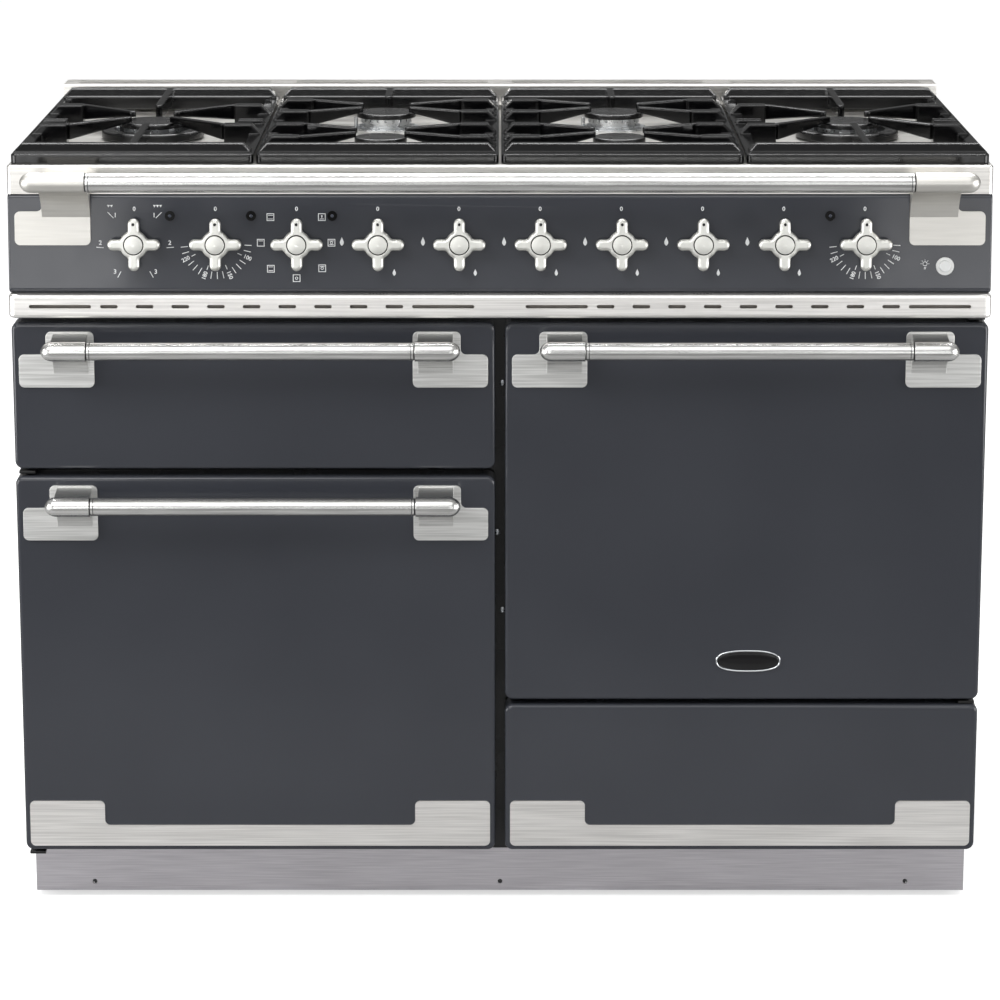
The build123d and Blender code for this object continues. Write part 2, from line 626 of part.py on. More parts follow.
def grill_door():
    """Drop-down door, notched at its lower edge for the two hinge arms, with a lug on each side of them."""
    skin = door_skin(GRILL_DOOR)
    inner = door_inner(GRILL_DOOR, GRILL)
    z = GRILL_DOOR_BOTTOM + GRILL_HINGE_RISE
    y = FRONT_Y + HINGE_INSET
    slot = GRILL_ARM_WIDTH / 2 + RUNNING_GAP
    swing = GRILL_ARM_HEIGHT / 2 + 1
    for x in grill_arms():
        for side in (-1, 1):
            span = sorted((x + side * slot, x + side * (slot + GRILL_LUG)))
            lug = box(*span, FRONT_Y + SHEET, y + swing, GRILL_DOOR_BOTTOM + SHEET, z + swing)
            skin += lug
        skin -= turned(upright(x, y, z), HINGE_PIN_RADIUS + HINGE_PIN_GAP,
                       -slot - GRILL_LUG, slot + GRILL_LUG)
        notch = box(x - slot, x + slot, y - swing, DOOR_BACK_Y, GRILL_DOOR_BOTTOM, z + swing)
        skin -= notch
        inner -= notch
    node("grill_door", skin, inner)
    node("grill_door_handle", *door_handle(GRILL_DOOR))


def oven_doors():
    for name, area, mouth, side in (("left", LEFT_DOOR, LEFT_OVEN, -1), ("right", RIGHT_DOOR, RIGHT_OVEN, 1)):
        skin = door_skin(area)
        for z in (area[2], area[3] - DOOR_CORNER):
            skin -= turned(Plane(origin=(hinge_x(side), FRONT_Y + HINGE_INSET, z)),
                           HINGE_PIN_RADIUS + HINGE_PIN_GAP, 0, DOOR_CORNER)
        node(f"{name}_oven_door", skin, door_inner(area, mouth))
        node(f"{name}_door_handle", *door_handle(area))
    node("left_door_trim", kick_trim(LEFT_DOOR))


def drawer():
    """Storage drawer: pressed front with its inner plate, a tray behind it and two angle runners."""
    node("drawer_front", door_skin(DRAWER), door_inner(DRAWER, None))
    node("drawer_trim", kick_trim(DRAWER))
    x0, x1, _, _ = drawer_mouth()
    x0 += DRAWER_SIDE_CLEAR
    x1 -= DRAWER_SIDE_CLEAR
    low = DOOR_BOTTOM + DRAWER_BOX_RISE
    high = low + DRAWER_BOX_HEIGHT
    rear = DOOR_BACK_Y + DRAWER_BOX_DEPTH
    tray = box(x0, x1, DOOR_BACK_Y, rear, low, high)
    tray -= box(x0 + SHEET, x1 - SHEET, DOOR_BACK_Y + SHEET, rear - SHEET, low + SHEET, high)
    node("drawer_box", tray)
    flange = low - RUNNING_GAP
    runners = []
    for wall, inner in ((SHEET / 2, x0 + RUNNER_LAP), (SIDE - SHEET, x1 - RUNNER_LAP)):
        away = SHEET if inner > wall else -SHEET
        ledge = box(*sorted((wall, inner)), FRAME_Y + SHEET, rear, flange - SHEET, flange)
        runners.append(ledge + box(*sorted((wall, wall + away)), FRAME_Y + SHEET, rear,
                                   flange - SHEET, flange + RUNNER_HEIGHT))
    node("drawer_runners", *runners)


def oven_racks():
    """Wire ladders on the cavity walls, and the wire shelves that lie on them."""
    pieces = []
    front = FRAME_Y + LADDER_FROM_FRONT
    rear = CAVITY_BACK_Y - FAN_COVER_DEPTH - LADDER_FROM_COVER
    for x0, x1, z0, z1 in (LEFT_OVEN, RIGHT_OVEN):
        for wall, inward in ((x0, 1), (x1, -1)):
            post = sorted((wall, wall + inward * LADDER_BAR))
            rung = sorted((wall, wall + inward * RUNG_REACH))
            ladder = box(*post, front, front + LADDER_BAR, z0 + LADDER_END, z1 - LADDER_END)
            ladder += box(*post, rear - LADDER_BAR, rear, z0 + LADDER_END, z1 - LADDER_END)
            for level in SHELF_LEVELS:
                ladder += box(*rung, front, rear, z0 + level - LADDER_BAR, z0 + level)
            pieces.append(ladder)
        for level in SHELF_LEVELS:
            pieces.append(shelf(x0 + SHELF_CLEAR, x1 - SHELF_CLEAR, front, rear, z0 + level))
    node("oven_racks", *pieces)


def shelf(x0, x1, front, rear, ladder_z):
    """Wire shelf: a border with bars across it, resting on the ladder rungs inside the ladder posts."""
    x0 += LADDER_BAR
    x1 -= LADDER_BAR
    wide = 2 * ROD_RADIUS
    border = Plane(origin=((x0 + x1) / 2, (front + rear) / 2, ladder_z))
    outer = border * RectangleRounded(x1 - x0, rear - front, CAVITY_CORNER)
    inner = border * RectangleRounded(x1 - x0 - 2 * wide, rear - front - 2 * wide, CAVITY_CORNER - wide)
    grid = extrude(outer - inner, amount=wide)
    step = (x1 - x0) / (SHELF_BARS + 1)
    for i in range(1, SHELF_BARS + 1):
        bar = turned(facing(x0 + i * step, rear - ROD_RADIUS, ladder_z + ROD_RADIUS), ROD_RADIUS * 0.8,
                     0, rear - front - wide)
        grid += bar
    return grid


def fans():
    """Fan cover, fan on its shaft and motor behind each oven's back wall, and the two oven liners."""
    covers, motors = [], []
    for name, mouth in (("left", LEFT_OVEN), ("right", RIGHT_OVEN)):
        x = (mouth[0] + mouth[1]) / 2
        z = (mouth[2] + mouth[3]) / 2
        axis = facing(x, CAVITY_BACK_Y, z)
        half = FAN_COVER_SIZE / 2
        area = (x - half, x + half, z - half, z + half)
        cover = rounded_plate(area, CAVITY_BACK_Y - FAN_COVER_DEPTH, CAVITY_BACK_Y, CAVITY_CORNER)
        cover -= rounded_plate(area, CAVITY_BACK_Y - FAN_COVER_DEPTH + SHEET, CAVITY_BACK_Y,
                               CAVITY_CORNER - SHEET, SHEET)
        slots = pattern(axis, PolarLocations(FAN_RADIUS * 0.6, FAN_COVER_SLOTS),
                        SlotOverall(FAN_RADIUS * 0.6, FAN_COVER_SLOT))
        cover -= extrude(slots, amount=FAN_COVER_DEPTH)
        covers.append(cover)
        wheel = turned(axis, FAN_RADIUS * 0.5, *FAN_PLATE) + turned(axis, FAN_HUB_RADIUS, *FAN_HUB)
        vane = Rot(0, 0, FAN_BLADE_TURN) * Box(FAN_RADIUS * 0.6, FAN_BLADE_THICK, FAN_BLADE_WIDTH)
        for place in PolarLocations(FAN_RADIUS * 0.66, FAN_BLADES):
            wheel += axis * place * Pos(0, 0, FAN_MIDDLE) * vane
        wheel += turned(axis, SHAFT_RADIUS, -SHEET - SHAFT_DEPTH, FAN_HUB[1])
        node(f"{name}_oven_fan", wheel)
        motor = turned(axis, MOTOR_RADIUS, -SHEET - MOTOR_LENGTH, -SHEET)
        motor += axis.offset(-SHEET - MOTOR_BRACKET[2] / 2) * Box(*MOTOR_BRACKET)
        motor -= turned(axis, SHAFT_RADIUS + SHAFT_GAP, -SHEET - SHAFT_DEPTH - SPINDLE_HOLE, -SHEET)
        motors.append(motor)
        node(f"{name}_oven_liner", liner(mouth) - turned(axis, SHAFT_RADIUS + 1, -SHEET, 0))
    node("fan_covers", *covers)
    node("fan_motors", *motors)


def heating_elements():
    """Looped grill element under the grill ceiling, and a ring element round each oven fan."""
    x0, x1, _, z1 = GRILL
    z = z1 - ELEMENT_DROP
    front = FRAME_Y + ELEMENT_FROM_FRONT
    rear = CAVITY_BACK_Y
    turn = rear - ELEMENT_FROM_BACK
    start = x0 + ELEMENT_FROM_SIDE
    pitch = (x1 - ELEMENT_FROM_SIDE - start) / (2 * GRILL_LOOPS)
    points = [(start, rear)]
    for i in range(2 * GRILL_LOOPS):
        near, far = (front, turn) if i % 2 else (turn, front)
        first = rear if i == 0 else near
        points[-1] = (start + i * pitch, first)
        points += [(start + i * pitch, far), (start + (i + 1) * pitch, far)]
    points.append((start + 2 * GRILL_LOOPS * pitch, rear))
    route = FilletPolyline(*[(x, y, z) for x, y in points], radius=pitch * ELEMENT_BEND)
    pieces = [sweep(Plane(route @ 0, z_dir=route % 0) * Circle(ELEMENT_RADIUS), path=route)]
    for mouth in (LEFT_OVEN, RIGHT_OVEN):
        axis = facing((mouth[0] + mouth[1]) / 2, CAVITY_BACK_Y - RING_FORWARD, (mouth[2] + mouth[3]) / 2)
        ring = axis * Torus(RING_RADIUS, ELEMENT_RADIUS)
        for x in (-RING_LEG_ASIDE, RING_LEG_ASIDE):
            rise = hypot(RING_RADIUS, x) - RING_LEG_LAP
            leg = facing(axis.origin.X + x, CAVITY_BACK_Y - RING_FORWARD, axis.origin.Z + rise)
            ring += turned(leg, ELEMENT_RADIUS, -RING_FORWARD, 0)
        pieces.append(ring)
    node("heating_elements", *pieces)


def grill_parts():
    """Grill liner with a ledge along each wall, and the grill pan that hangs on the ledges."""
    x0, x1, z0, _ = GRILL
    body = liner(GRILL)
    ledge_z = z0 + GRILL_LEDGE_RISE
    for wall, inward in ((x0, 1), (x1, -1)):
        body += box(*sorted((wall, wall + inward * GRILL_LEDGE)), FRAME_Y + SHEET, CAVITY_BACK_Y,
                    ledge_z - SHEET, ledge_z)
    node("grill_liner", body)
    front = FRAME_Y + GRILL_PAN_FROM_FRONT
    rear = front + GRILL_PAN_DEPTH
    clear = SHELF_CLEAR
    lip = box(x0 + clear, x1 - clear, front, rear, ledge_z, ledge_z + SHEET)
    wall = GRILL_LEDGE + clear
    pan = lip + box(x0 + wall, x1 - wall, front, rear, ledge_z - GRILL_PAN_HEIGHT, ledge_z + SHEET)
    pan -= box(x0 + wall + SHEET, x1 - wall - SHEET, front + SHEET, rear - SHEET,
               ledge_z - GRILL_PAN_HEIGHT + SHEET, ledge_z + SHEET)
    node("grill_pan", pan)


BURNER_KNOBS = range(3, 9)
KNOB_NAMES = ["knob_grill", "knob_left_oven_heat", "knob_left_oven_function"]
KNOB_NAMES += [f"knob_burner_{i}" for i in range(1, 7)] + ["knob_right_oven_heat"]


def knob_x(index):
    """Place of a knob along the panel, counted from the left."""
    first = FIRST_KNOB_FROM_EDGE - HALF
    return first - 2 * first * index / (len(KNOB_NAMES) - 1)


def neon_xs():
    """Places of the lamps: right of the first three knobs and left of the last."""
    return [knob_x(i) + NEON_ASIDE for i in range(3)] + [knob_x(9) - NEON_ASIDE]


def knob():
    """Four-arm knob along +Z: a round hub that flows into rounded arms, a domed cap and a pointer dimple."""
    cross = SlotOverall(KNOB_SPAN, KNOB_ARM) + Rot(0, 0, 90) * SlotOverall(KNOB_SPAN, KNOB_ARM)
    cross += Circle(KNOB_HUB_RADIUS)
    inner = [v for v in cross.vertices() if hypot(v.X, v.Y) < KNOB_HUB_RADIUS + 1]
    cross = fillet(inner, KNOB_BLEND)
    top = KNOB_HEIGHT - CAP_STEP
    arms = Pos(0, 0, top - KNOB_ARM_THICK) * extrude(cross, amount=KNOB_ARM_THICK)
    arms = fillet(arms.faces().sort_by(Axis.Z)[-1].edges(), KNOB_TOP_ROUND)
    arms = fillet(arms.faces().sort_by(Axis.Z)[0].edges(), KNOB_UNDER_ROUND)
    base = Plane.XY
    body = arms + turned(base, KNOB_NECK_RADIUS, KNOB_GAP, top - CAP_GROOVE_DEPTH)
    groove = turned(base, CAP_RADIUS + CAP_GROOVE, top - CAP_GROOVE_DEPTH, KNOB_HEIGHT)
    body -= groove - turned(base, CAP_RADIUS, 0, KNOB_HEIGHT)
    curve = (CAP_RADIUS ** 2 + CAP_DOME ** 2) / (2 * CAP_DOME)
    dome = Pos(0, 0, KNOB_HEIGHT + CAP_DOME - curve) * Sphere(curve)
    body += turned(base, CAP_RADIUS, KNOB_HEIGHT / 2, KNOB_HEIGHT + CAP_DOME) & dome
    dot = Plane(origin=(0, KNOB_SPAN / 2 - KNOB_ARM / 2, 0))
    body -= turned(dot, POINTER_RADIUS, top - CAP_GROOVE_DEPTH, KNOB_HEIGHT)
    return body - turned(base, SPINDLE_RADIUS + SPINDLE_GAP, 0, KNOB_HEIGHT * 0.6)


def controls():
    """Knobs on their spindles, gas taps, rotary switches, lamps, push switch and button."""
    handle = knob()
    back = -SHEET
    bore = SPINDLE_RADIUS + SPINDLE_GAP
    taps, switches, lamps = [], [], []
    for index, name in enumerate(KNOB_NAMES):
        place = on_panel(knob_x(index))
        spindle = turned(place, SPINDLE_RADIUS, back - BUSH_LENGTH - SPINDLE_DEPTH, KNOB_HEIGHT * 0.6)
        node(name, place * handle, spindle)
        bush = turned(place, BUSH_RADIUS, back - BUSH_LENGTH, back)
        if index in BURNER_KNOBS:
            body = bush + turned(place, TAP_RADIUS, back - BUSH_LENGTH - TAP_LENGTH, back - BUSH_LENGTH)
            saddle = on_panel(knob_x(index), -MANIFOLD_DROP / 2, back - BUSH_LENGTH - TAP_LENGTH / 2)
            body += saddle * Box(TAP_SADDLE, MANIFOLD_DROP, TAP_SADDLE)
            middle = manifold_point()
            body -= turned(upright(knob_x(index), middle.Y, middle.Z), MANIFOLD_RADIUS + MANIFOLD_GAP,
                           -TAP_RADIUS, TAP_RADIUS)
        else:
            block = place.offset(back - BUSH_LENGTH - SWITCH_LENGTH / 2)
            body = bush + block * Box(SWITCH_SIZE, SWITCH_SIZE, SWITCH_LENGTH)
        body -= turned(place, bore, back - BUSH_LENGTH - SPINDLE_DEPTH - SPINDLE_HOLE, back)
        (taps if index in BURNER_KNOBS else switches).append(body)
    for x in neon_xs():
        place = on_panel(x, NEON_RISE)
        ring = turned(place, NEON_RADIUS, 0, NEON_RIM_HEIGHT)
        ring -= turned(place, NEON_WELL_RADIUS, NEON_WELL_FLOOR, NEON_RIM_HEIGHT)
        lens = turned(place, NEON_LENS_RADIUS, 0, NEON_LENS_HEIGHT)
        lamps.append(ring + lens + turned(place, NEON_BODY_RADIUS, -NEON_BODY_LENGTH, 0))
    place = on_panel(BUTTON_X, -BUTTON_DROP)
    rim = fillet(turned(Plane.XY, BEZEL_RADIUS, 0, BEZEL_HEIGHT).edges().group_by(Axis.Z)[-1], BEZEL_ROUND)
    bezel = place * rim + turned(place, BEZEL_BODY_RADIUS, -BEZEL_BODY_LENGTH, 0)
    switches.append(bezel - turned(place, BUTTON_RADIUS + BUTTON_GAP, -BUTTON_WELL, BEZEL_HEIGHT))
    button = turned(Plane.XY, BUTTON_RADIUS, -BUTTON_STEM, BUTTON_STANDS)
    node("light_button", place * fillet(button.edges().group_by(Axis.Z)[-1], BUTTON_ROUND))
    node("gas_taps", *taps)
    node("control_switches", *switches)
    node("neon_lamps", *lamps)


def panel_profile(inset):
    """Section of the control panel: a folded sheet with a leaning face, open at the back."""
    rear = inset / cos(PANEL_TILT)
    slip = PANEL_LEAN * inset / PANEL_HEIGHT
    points = [(FRAME_Y, PANEL_TOP - inset), (FRONT_Y + rear - slip, PANEL_TOP - inset),
              (FRONT_Y - PANEL_LEAN + rear + slip, PANEL_BOTTOM + inset), (FRAME_Y, PANEL_BOTTOM + inset)]
    outline = make_face(Polyline(*points, close=True))
    return fillet(outline.vertices().sort_by(Axis.X)[:2], PANEL_ROUND - inset)


def panel_parts():
    """Control panel with its holes, and the slotted vent strip that it stands on."""
    panel = extrude(upright(-HALF, 0, 0) * panel_profile(0), amount=WIDTH)
    rims = panel.edges().filter_by(lambda edge: edge.bounding_box().size.X < SHEET)
    panel = fillet(rims.filter_by(lambda edge: edge.center().Y < FRONT_Y + PANEL_ROUND), PANEL_SIDE_ROUND)
    panel -= extrude(upright(-HALF + SHEET, 0, 0) * panel_profile(SHEET), amount=WIDTH - 2 * SHEET)
    for index in range(len(KNOB_NAMES)):
        panel -= turned(on_panel(knob_x(index)), SPINDLE_RADIUS + SPINDLE_HOLE, -2 * SHEET, SHEET)
    for x in neon_xs():
        panel -= turned(on_panel(x, NEON_RISE), NEON_BODY_RADIUS + RUNNING_GAP, -2 * SHEET, SHEET)
    panel -= turned(on_panel(BUTTON_X, -BUTTON_DROP), BEZEL_BODY_RADIUS + RUNNING_GAP, -2 * SHEET, SHEET)
    node("control_panel", panel)
    node("vent_strip", vent_strip())


def vent_strip():
    """Channel that stands forward below the panel, slotted along its face, with a baffle behind the slots."""
    front = FRONT_Y - VENT_FORWARD
    outline = box(-HALF, HALF, front, FRAME_Y, VENT_BOTTOM, PANEL_BOTTOM)
    outline = fillet(outline.edges().filter_by(Axis.Z).sort_by(Axis.Y)[:2], VENT_END_ROUND)
    outline = fillet(outline.edges().filter_by(Axis.X).sort_by(Axis.Y)[:2], VENT_ROUND)
    strip = outline - box(-HALF + SHEET, HALF - SHEET, front + VENT_END_ROUND, FRAME_Y,
                          VENT_BOTTOM + SHEET, PANEL_BOTTOM - SHEET)
    strip -= box(-HALF + VENT_END_ROUND, HALF - VENT_END_ROUND, front + SHEET, FRAME_Y,
                 VENT_BOTTOM + SHEET, PANEL_BOTTOM - SHEET)
    baffle = front + SHEET + VENT_BAFFLE_BACK
    strip += box(-HALF + SHEET / 2, HALF - SHEET / 2, baffle, baffle + SHEET,
                 VENT_BOTTOM + SHEET / 2, PANEL_BOTTOM - SHEET - VENT_BAFFLE_GAP)
    middle = VENT_BOTTOM + VENT_HEIGHT / 2
    pitch = (COLUMN_WIDTH - 2 * (VENT_SLOTS_FROM_EDGE + VENT_LONG_SLOT)) / VENT_SHORT_COUNT
    aside = (COLUMN_WIDTH - VENT_LONG_SLOT) / 2 - VENT_SLOTS_FROM_EDGE
    for column in (-COLUMN, COLUMN):
        row = facing(column, front + SHEET, middle)
        short = GridLocations(pitch, 1, VENT_SHORT_COUNT, 1)
        strip -= extrude(pattern(row, short, SlotOverall(VENT_SHORT_SLOT, VENT_SLOT)), amount=SHEET)
        long = GridLocations(2 * aside, 1, 2, 1)
        strip -= extrude(pattern(row, long, SlotOverall(VENT_LONG_SLOT, VENT_SLOT)), amount=SHEET)
    return strip


def front_rail():
    """Rail across the front, on two cast brackets that rise from the panel and turn forward."""
    foot_z = on_panel(0, RAIL_FOOT_UP).origin.Z
    tab_z = on_panel(0, RAIL_FOOT_UP + PLATE_HEIGHT + RAIL_TAB_HEIGHT).origin.Z
    profile = arm_profile(FRONT_Y - PLATE_THICK, foot_z + RAIL_ARM_RISE, tab_z, RAIL_Y, RAIL_Z)
    pieces = []
    for side in (-1, 1):
        edge = side * (HALF - HANDLE_INSET)
        foot = on_panel(edge, RAIL_FOOT_UP)
        plate = extrude(foot * step_plate(side > 0, RAIL_TAB_HEIGHT), amount=PLATE_THICK)
        tab = side * RAIL_LENGTH / 2
        inner = tab - side * RAIL_END_LENGTH
        low, high = sorted((edge - side * (PLATE_WIDTH - TAB_WIDTH), edge - side * PLATE_WIDTH))
        arm = extrude(upright(low, 0, 0) * profile, amount=high - low)
        pieces.append(plate + arm + bullet_bar(tab, inner, RAIL_Y, RAIL_Z, RAIL_DIAMETER / 2))
    node("rail_brackets", *pieces)
    half = RAIL_LENGTH / 2 - RAIL_END_LENGTH
    node("front_rail", grooved_bar(-half, half, RAIL_Y, RAIL_Z, RAIL_DIAMETER / 2 - RAIL_STEP))


def burner_places():
    """Each burner from left to right as x, y and its sizes; the inner supports have two each."""
    inner_x = SUPPORT_PITCH / 2
    outer_x = 3 * inner_x
    outer_y = FRONT_Y + OUTER_BURNER_DEPTH
    rear_y = FRONT_Y + REAR_BURNER_DEPTH
    front_y = FRONT_Y + FRONT_BURNER_DEPTH
    return [(-outer_x, outer_y, OUTER_BURNER), (-inner_x, rear_y, REAR_BURNER),
            (-inner_x, front_y, FRONT_BURNER), (inner_x, front_y, FRONT_BURNER),
            (inner_x, rear_y, REAR_BURNER), (outer_x, outer_y, OUTER_BURNER)]


def burner_head(place, sizes):
    """Aluminium head: a notched band on a narrower neck with a foot."""
    radius = sizes["head"]
    crown = sizes["crown"]
    body = turned(place, radius, crown - HEAD_BAND, crown)
    body += turned(place, radius - HEAD_NECK, CUP_RIM, crown - HEAD_BAND)
    body += turned(place, radius + HEAD_FOOT, CUP_RIM, HEAD_FOOT_TOP)
    length, width, depth = HEAD_NOTCH
    notches = pattern(place.offset(crown - depth), PolarLocations(radius, HEAD_NOTCHES),
                      Rectangle(length, width))
    return body - extrude(notches, amount=depth)


def burners():
    """Injector cups with spark electrodes, notched heads and black caps; the outer pair has a flame ring."""
    cups, heads, caps = [], [], []
    for x, y, sizes in burner_places():
        place = Plane(origin=(x, y, DECK))
        cups.append(turned(place, sizes["cup"], -CUP_DROP, 0) + turned(place, sizes["rim"], 0, CUP_RIM))
        crown = sizes["crown"]
        spark = Plane(origin=(x - sizes["spark"], y, DECK))
        cups.append(turned(spark, SPARK_RADIUS, CUP_RIM, crown - SPARK_RADIUS / 2))
        heads.append(burner_head(place, sizes))
        lid = turned(place, sizes["cap"], crown, crown + CAP_THICK)
        caps.append(fillet(lid.edges().group_by(Axis.Z)[-1], CAP_EDGE_ROUND))
        if sizes is OUTER_BURNER:
            ring = turned(place, FLAME_RING_RADIUS, CUP_RIM, FLAME_RING_TOP)
            ring = fillet(ring.edges().group_by(Axis.Z)[-1], FLAME_RING_ROUND)
            caps.append(ring - turned(place, FLAME_RING_BORE, CUP_RIM, FLAME_RING_TOP))
    node("burner_cups", *cups)
    node("burner_heads", *heads)
    node("burner_caps", *caps)


def gas_lines():
    """Manifold along the taps with its rear inlet, and a feed pipe from each tap to its burner cup."""
    middle = manifold_point()
    end = BACK_Y - 2 * INLET_BORE_LENGTH
    route = FilletPolyline((knob_x(3) - MANIFOLD_TAIL, middle.Y, middle.Z), (INLET_X, middle.Y, middle.Z),
                           (INLET_X, end, middle.Z), radius=3 * MANIFOLD_RADIUS)
    rail = sweep(Plane(route @ 0, z_dir=route % 0) * Circle(MANIFOLD_RADIUS), path=route)
    inlet = facing(INLET_X, BACK_Y, middle.Z)
    rail += turned(inlet, INLET_OUTER_RADIUS, 0, 2 * INLET_BORE_LENGTH)
    node("gas_manifold", rail - turned(inlet, INLET_BORE_RADIUS, 0, INLET_BORE_LENGTH))
    pipes = []
    for index, order, (x, y, _) in zip(BURNER_KNOBS, FEED_ORDER, burner_places()):
        outlet = on_panel(knob_x(index), 0, -SHEET - BUSH_LENGTH - TAP_LENGTH - RUNNING_GAP).origin
        leaves = outlet - PANEL_OUT * (FEED_REACH + FEED_STEP * order)
        level = leaves.Z - FEED_DROP - FEED_STEP * order
        if abs(x - outlet.X) < 2 * FEED_BEND:
            x = outlet.X
        points = [outlet, leaves, (leaves.X, leaves.Y, level), (x, leaves.Y, level), (x, y, level),
                  (x, y, DECK - CUP_DROP - RUNNING_GAP)]
        pipes.append(feed_pipe(points))
    node("burner_feed_pipes", *pipes)


def feed_pipe(points):
    """Bent tube through the points, leaving out a point that repeats the one before."""
    kept = [Vector(points[0])]
    for point in points[1:]:
        if (Vector(point) - kept[-1]).length > FEED_BEND:
            kept.append(Vector(point))
    route = FilletPolyline(*kept, radius=FEED_BEND)
    return sweep(Plane(route @ 0, z_dir=route % 0) * Circle(FEED_RADIUS), path=route)


def hob():
    """Pressed stainless hob with a skirt, a raised rim and a sunk deck, and the vented rear trim."""
    rear = FRONT_Y + SUPPORT_START + SUPPORT_DEPTH - SUPPORT_RAIL / 2
    plate = box(-HALF, HALF, FRONT_Y, BACK_Y, PANEL_TOP, HOB_TOP)
    plate = fillet(plate.edges().filter_by(Axis.Z), HOB_CORNER)
    plate = fillet(plate.faces().sort_by(Axis.Z)[-1].edges(), HOB_EDGE)
    deck = (-HALF + HOB_RIM, HALF - HOB_RIM, FRONT_Y + HOB_RIM, rear)
    under = box(-HALF + SHEET, HALF - SHEET, FRONT_Y + SHEET, BACK_Y - SHEET, PANEL_TOP, HOB_TOP - SHEET)
    under -= box(deck[0] - SHEET, deck[1] + SHEET, deck[2] - SHEET, deck[3] + SHEET, DECK - SHEET, HOB_TOP)
    plate -= under
    plate -= box(*deck, DECK, HOB_TOP)
    for x, y, sizes in burner_places():
        plate -= turned(Plane(origin=(x, y, DECK)), sizes["cup"] + RUNNING_GAP, -SHEET, 0)
    node("hob_plate", plate)
    trim = box(-HALF, HALF, BACK_Y - REAR_TRIM_DEPTH, BACK_Y, HOB_TOP, HOB_TOP + REAR_TRIM_HEIGHT)
    trim = fillet(trim.edges().filter_by(Axis.X).group_by(Axis.Z)[-1], HOB_EDGE)
    trim -= box(-HALF + SHEET, HALF - SHEET, BACK_Y - REAR_TRIM_DEPTH + SHEET, BACK_Y - SHEET,
                HOB_TOP, HOB_TOP + REAR_TRIM_HEIGHT - SHEET)
    top = Plane(origin=(0, BACK_Y - REAR_TRIM_DEPTH / 2, HOB_TOP + REAR_TRIM_HEIGHT))
    slots = pattern(top, GridLocations(SUPPORT_PITCH, REAR_SLOT_PITCH, SUPPORT_COUNT, 2),
                    SlotOverall(SUPPORT_PITCH - REAR_SLOT_BRIDGE, REAR_SLOT_WIDTH))
    node("hob_rear_trim", trim - extrude(slots, amount=-SHEET))


def side_block(x, y, inward, length, width, height):
    """Block on a support's side rail that runs inwards, its outer end cut at 45 degrees."""
    rise = height - SUPPORT_RAIL_HEIGHT
    points = [(BLOCK_SETBACK, 0), (BLOCK_SETBACK, SUPPORT_RAIL_HEIGHT), (BLOCK_SETBACK + rise, height),
              (length, height), (length, 0)]
    outline = make_face(Polyline(*points, close=True))
    place = Plane(origin=(x, y, 0), x_dir=(inward, 0, 0), z_dir=(0, 1, 0))
    if inward > 0:
        place = Plane(origin=(x, y, 0), x_dir=(1, 0, 0), z_dir=(0, -1, 0))
    return extrude(place * outline, amount=width / 2, both=True)


def blade(start, tip, tip_height):
    """Pan finger from a root to a round nub: level on top, rising underneath, thin all along."""
    run = hypot(tip[0] - start[0], tip[1] - start[1])
    angle = degrees(atan2(tip[1] - start[1], tip[0] - start[0]))
    points = [(0, SUPPORT_HEIGHT - FINGER_ROOT_DROP), (0, SUPPORT_HEIGHT), (run, SUPPORT_HEIGHT),
              (run, SUPPORT_HEIGHT - tip_height)]
    outline = Plane.XZ * make_face(Polyline(*points, close=True))
    finger = extrude(outline, amount=FINGER_THICK / 2, both=True)
    nub = turned(Plane(origin=(run, 0, 0)), FINGER_THICK / 2, SUPPORT_HEIGHT - tip_height, SUPPORT_HEIGHT)
    nub = fillet(nub.edges().group_by(Axis.Z)[-1], FINGER_ROUND)
    return Pos(start[0], start[1], 0) * Rot(0, 0, angle) * (finger + nub)


def toward(start, burner_y, tip_radius):
    """Tip of a finger that points at a burner on the support's centre line."""
    run = hypot(start[0], burner_y - start[1])
    share = (run - tip_radius) / run
    return (start[0] * (1 - share), start[1] + (burner_y - start[1]) * share)


def end_rails(w, d):
    """Raised rails over both ends of a support's frame: an upright band under four 45 degree slopes."""
    rails = []
    rise = SUPPORT_HEIGHT - SUPPORT_RAIL_HEIGHT - UPPER_RAIL_BAND
    for side in (-1, 1):
        middle = side * (d - UPPER_RAIL_STEP - UPPER_RAIL_DEPTH / 2)
        base = Pos(0, middle, SUPPORT_RAIL_HEIGHT) * Rectangle(2 * (w - UPPER_RAIL_STEP), UPPER_RAIL_DEPTH)
        rails.append(extrude(base, amount=UPPER_RAIL_BAND))
        rails.append(extrude(Pos(0, 0, UPPER_RAIL_BAND) * base, amount=rise, taper=45))
        line = RectangleRounded(2 * (w - SUPPORT_RAIL / 2), CROSS_RAIL_WIDTH, CROSS_RAIL_ROUND)
        rails.append(extrude(Pos(0, side * (d - CROSS_RAIL_FROM_END), 0) * line, amount=RIB_HEIGHT))
    return rails


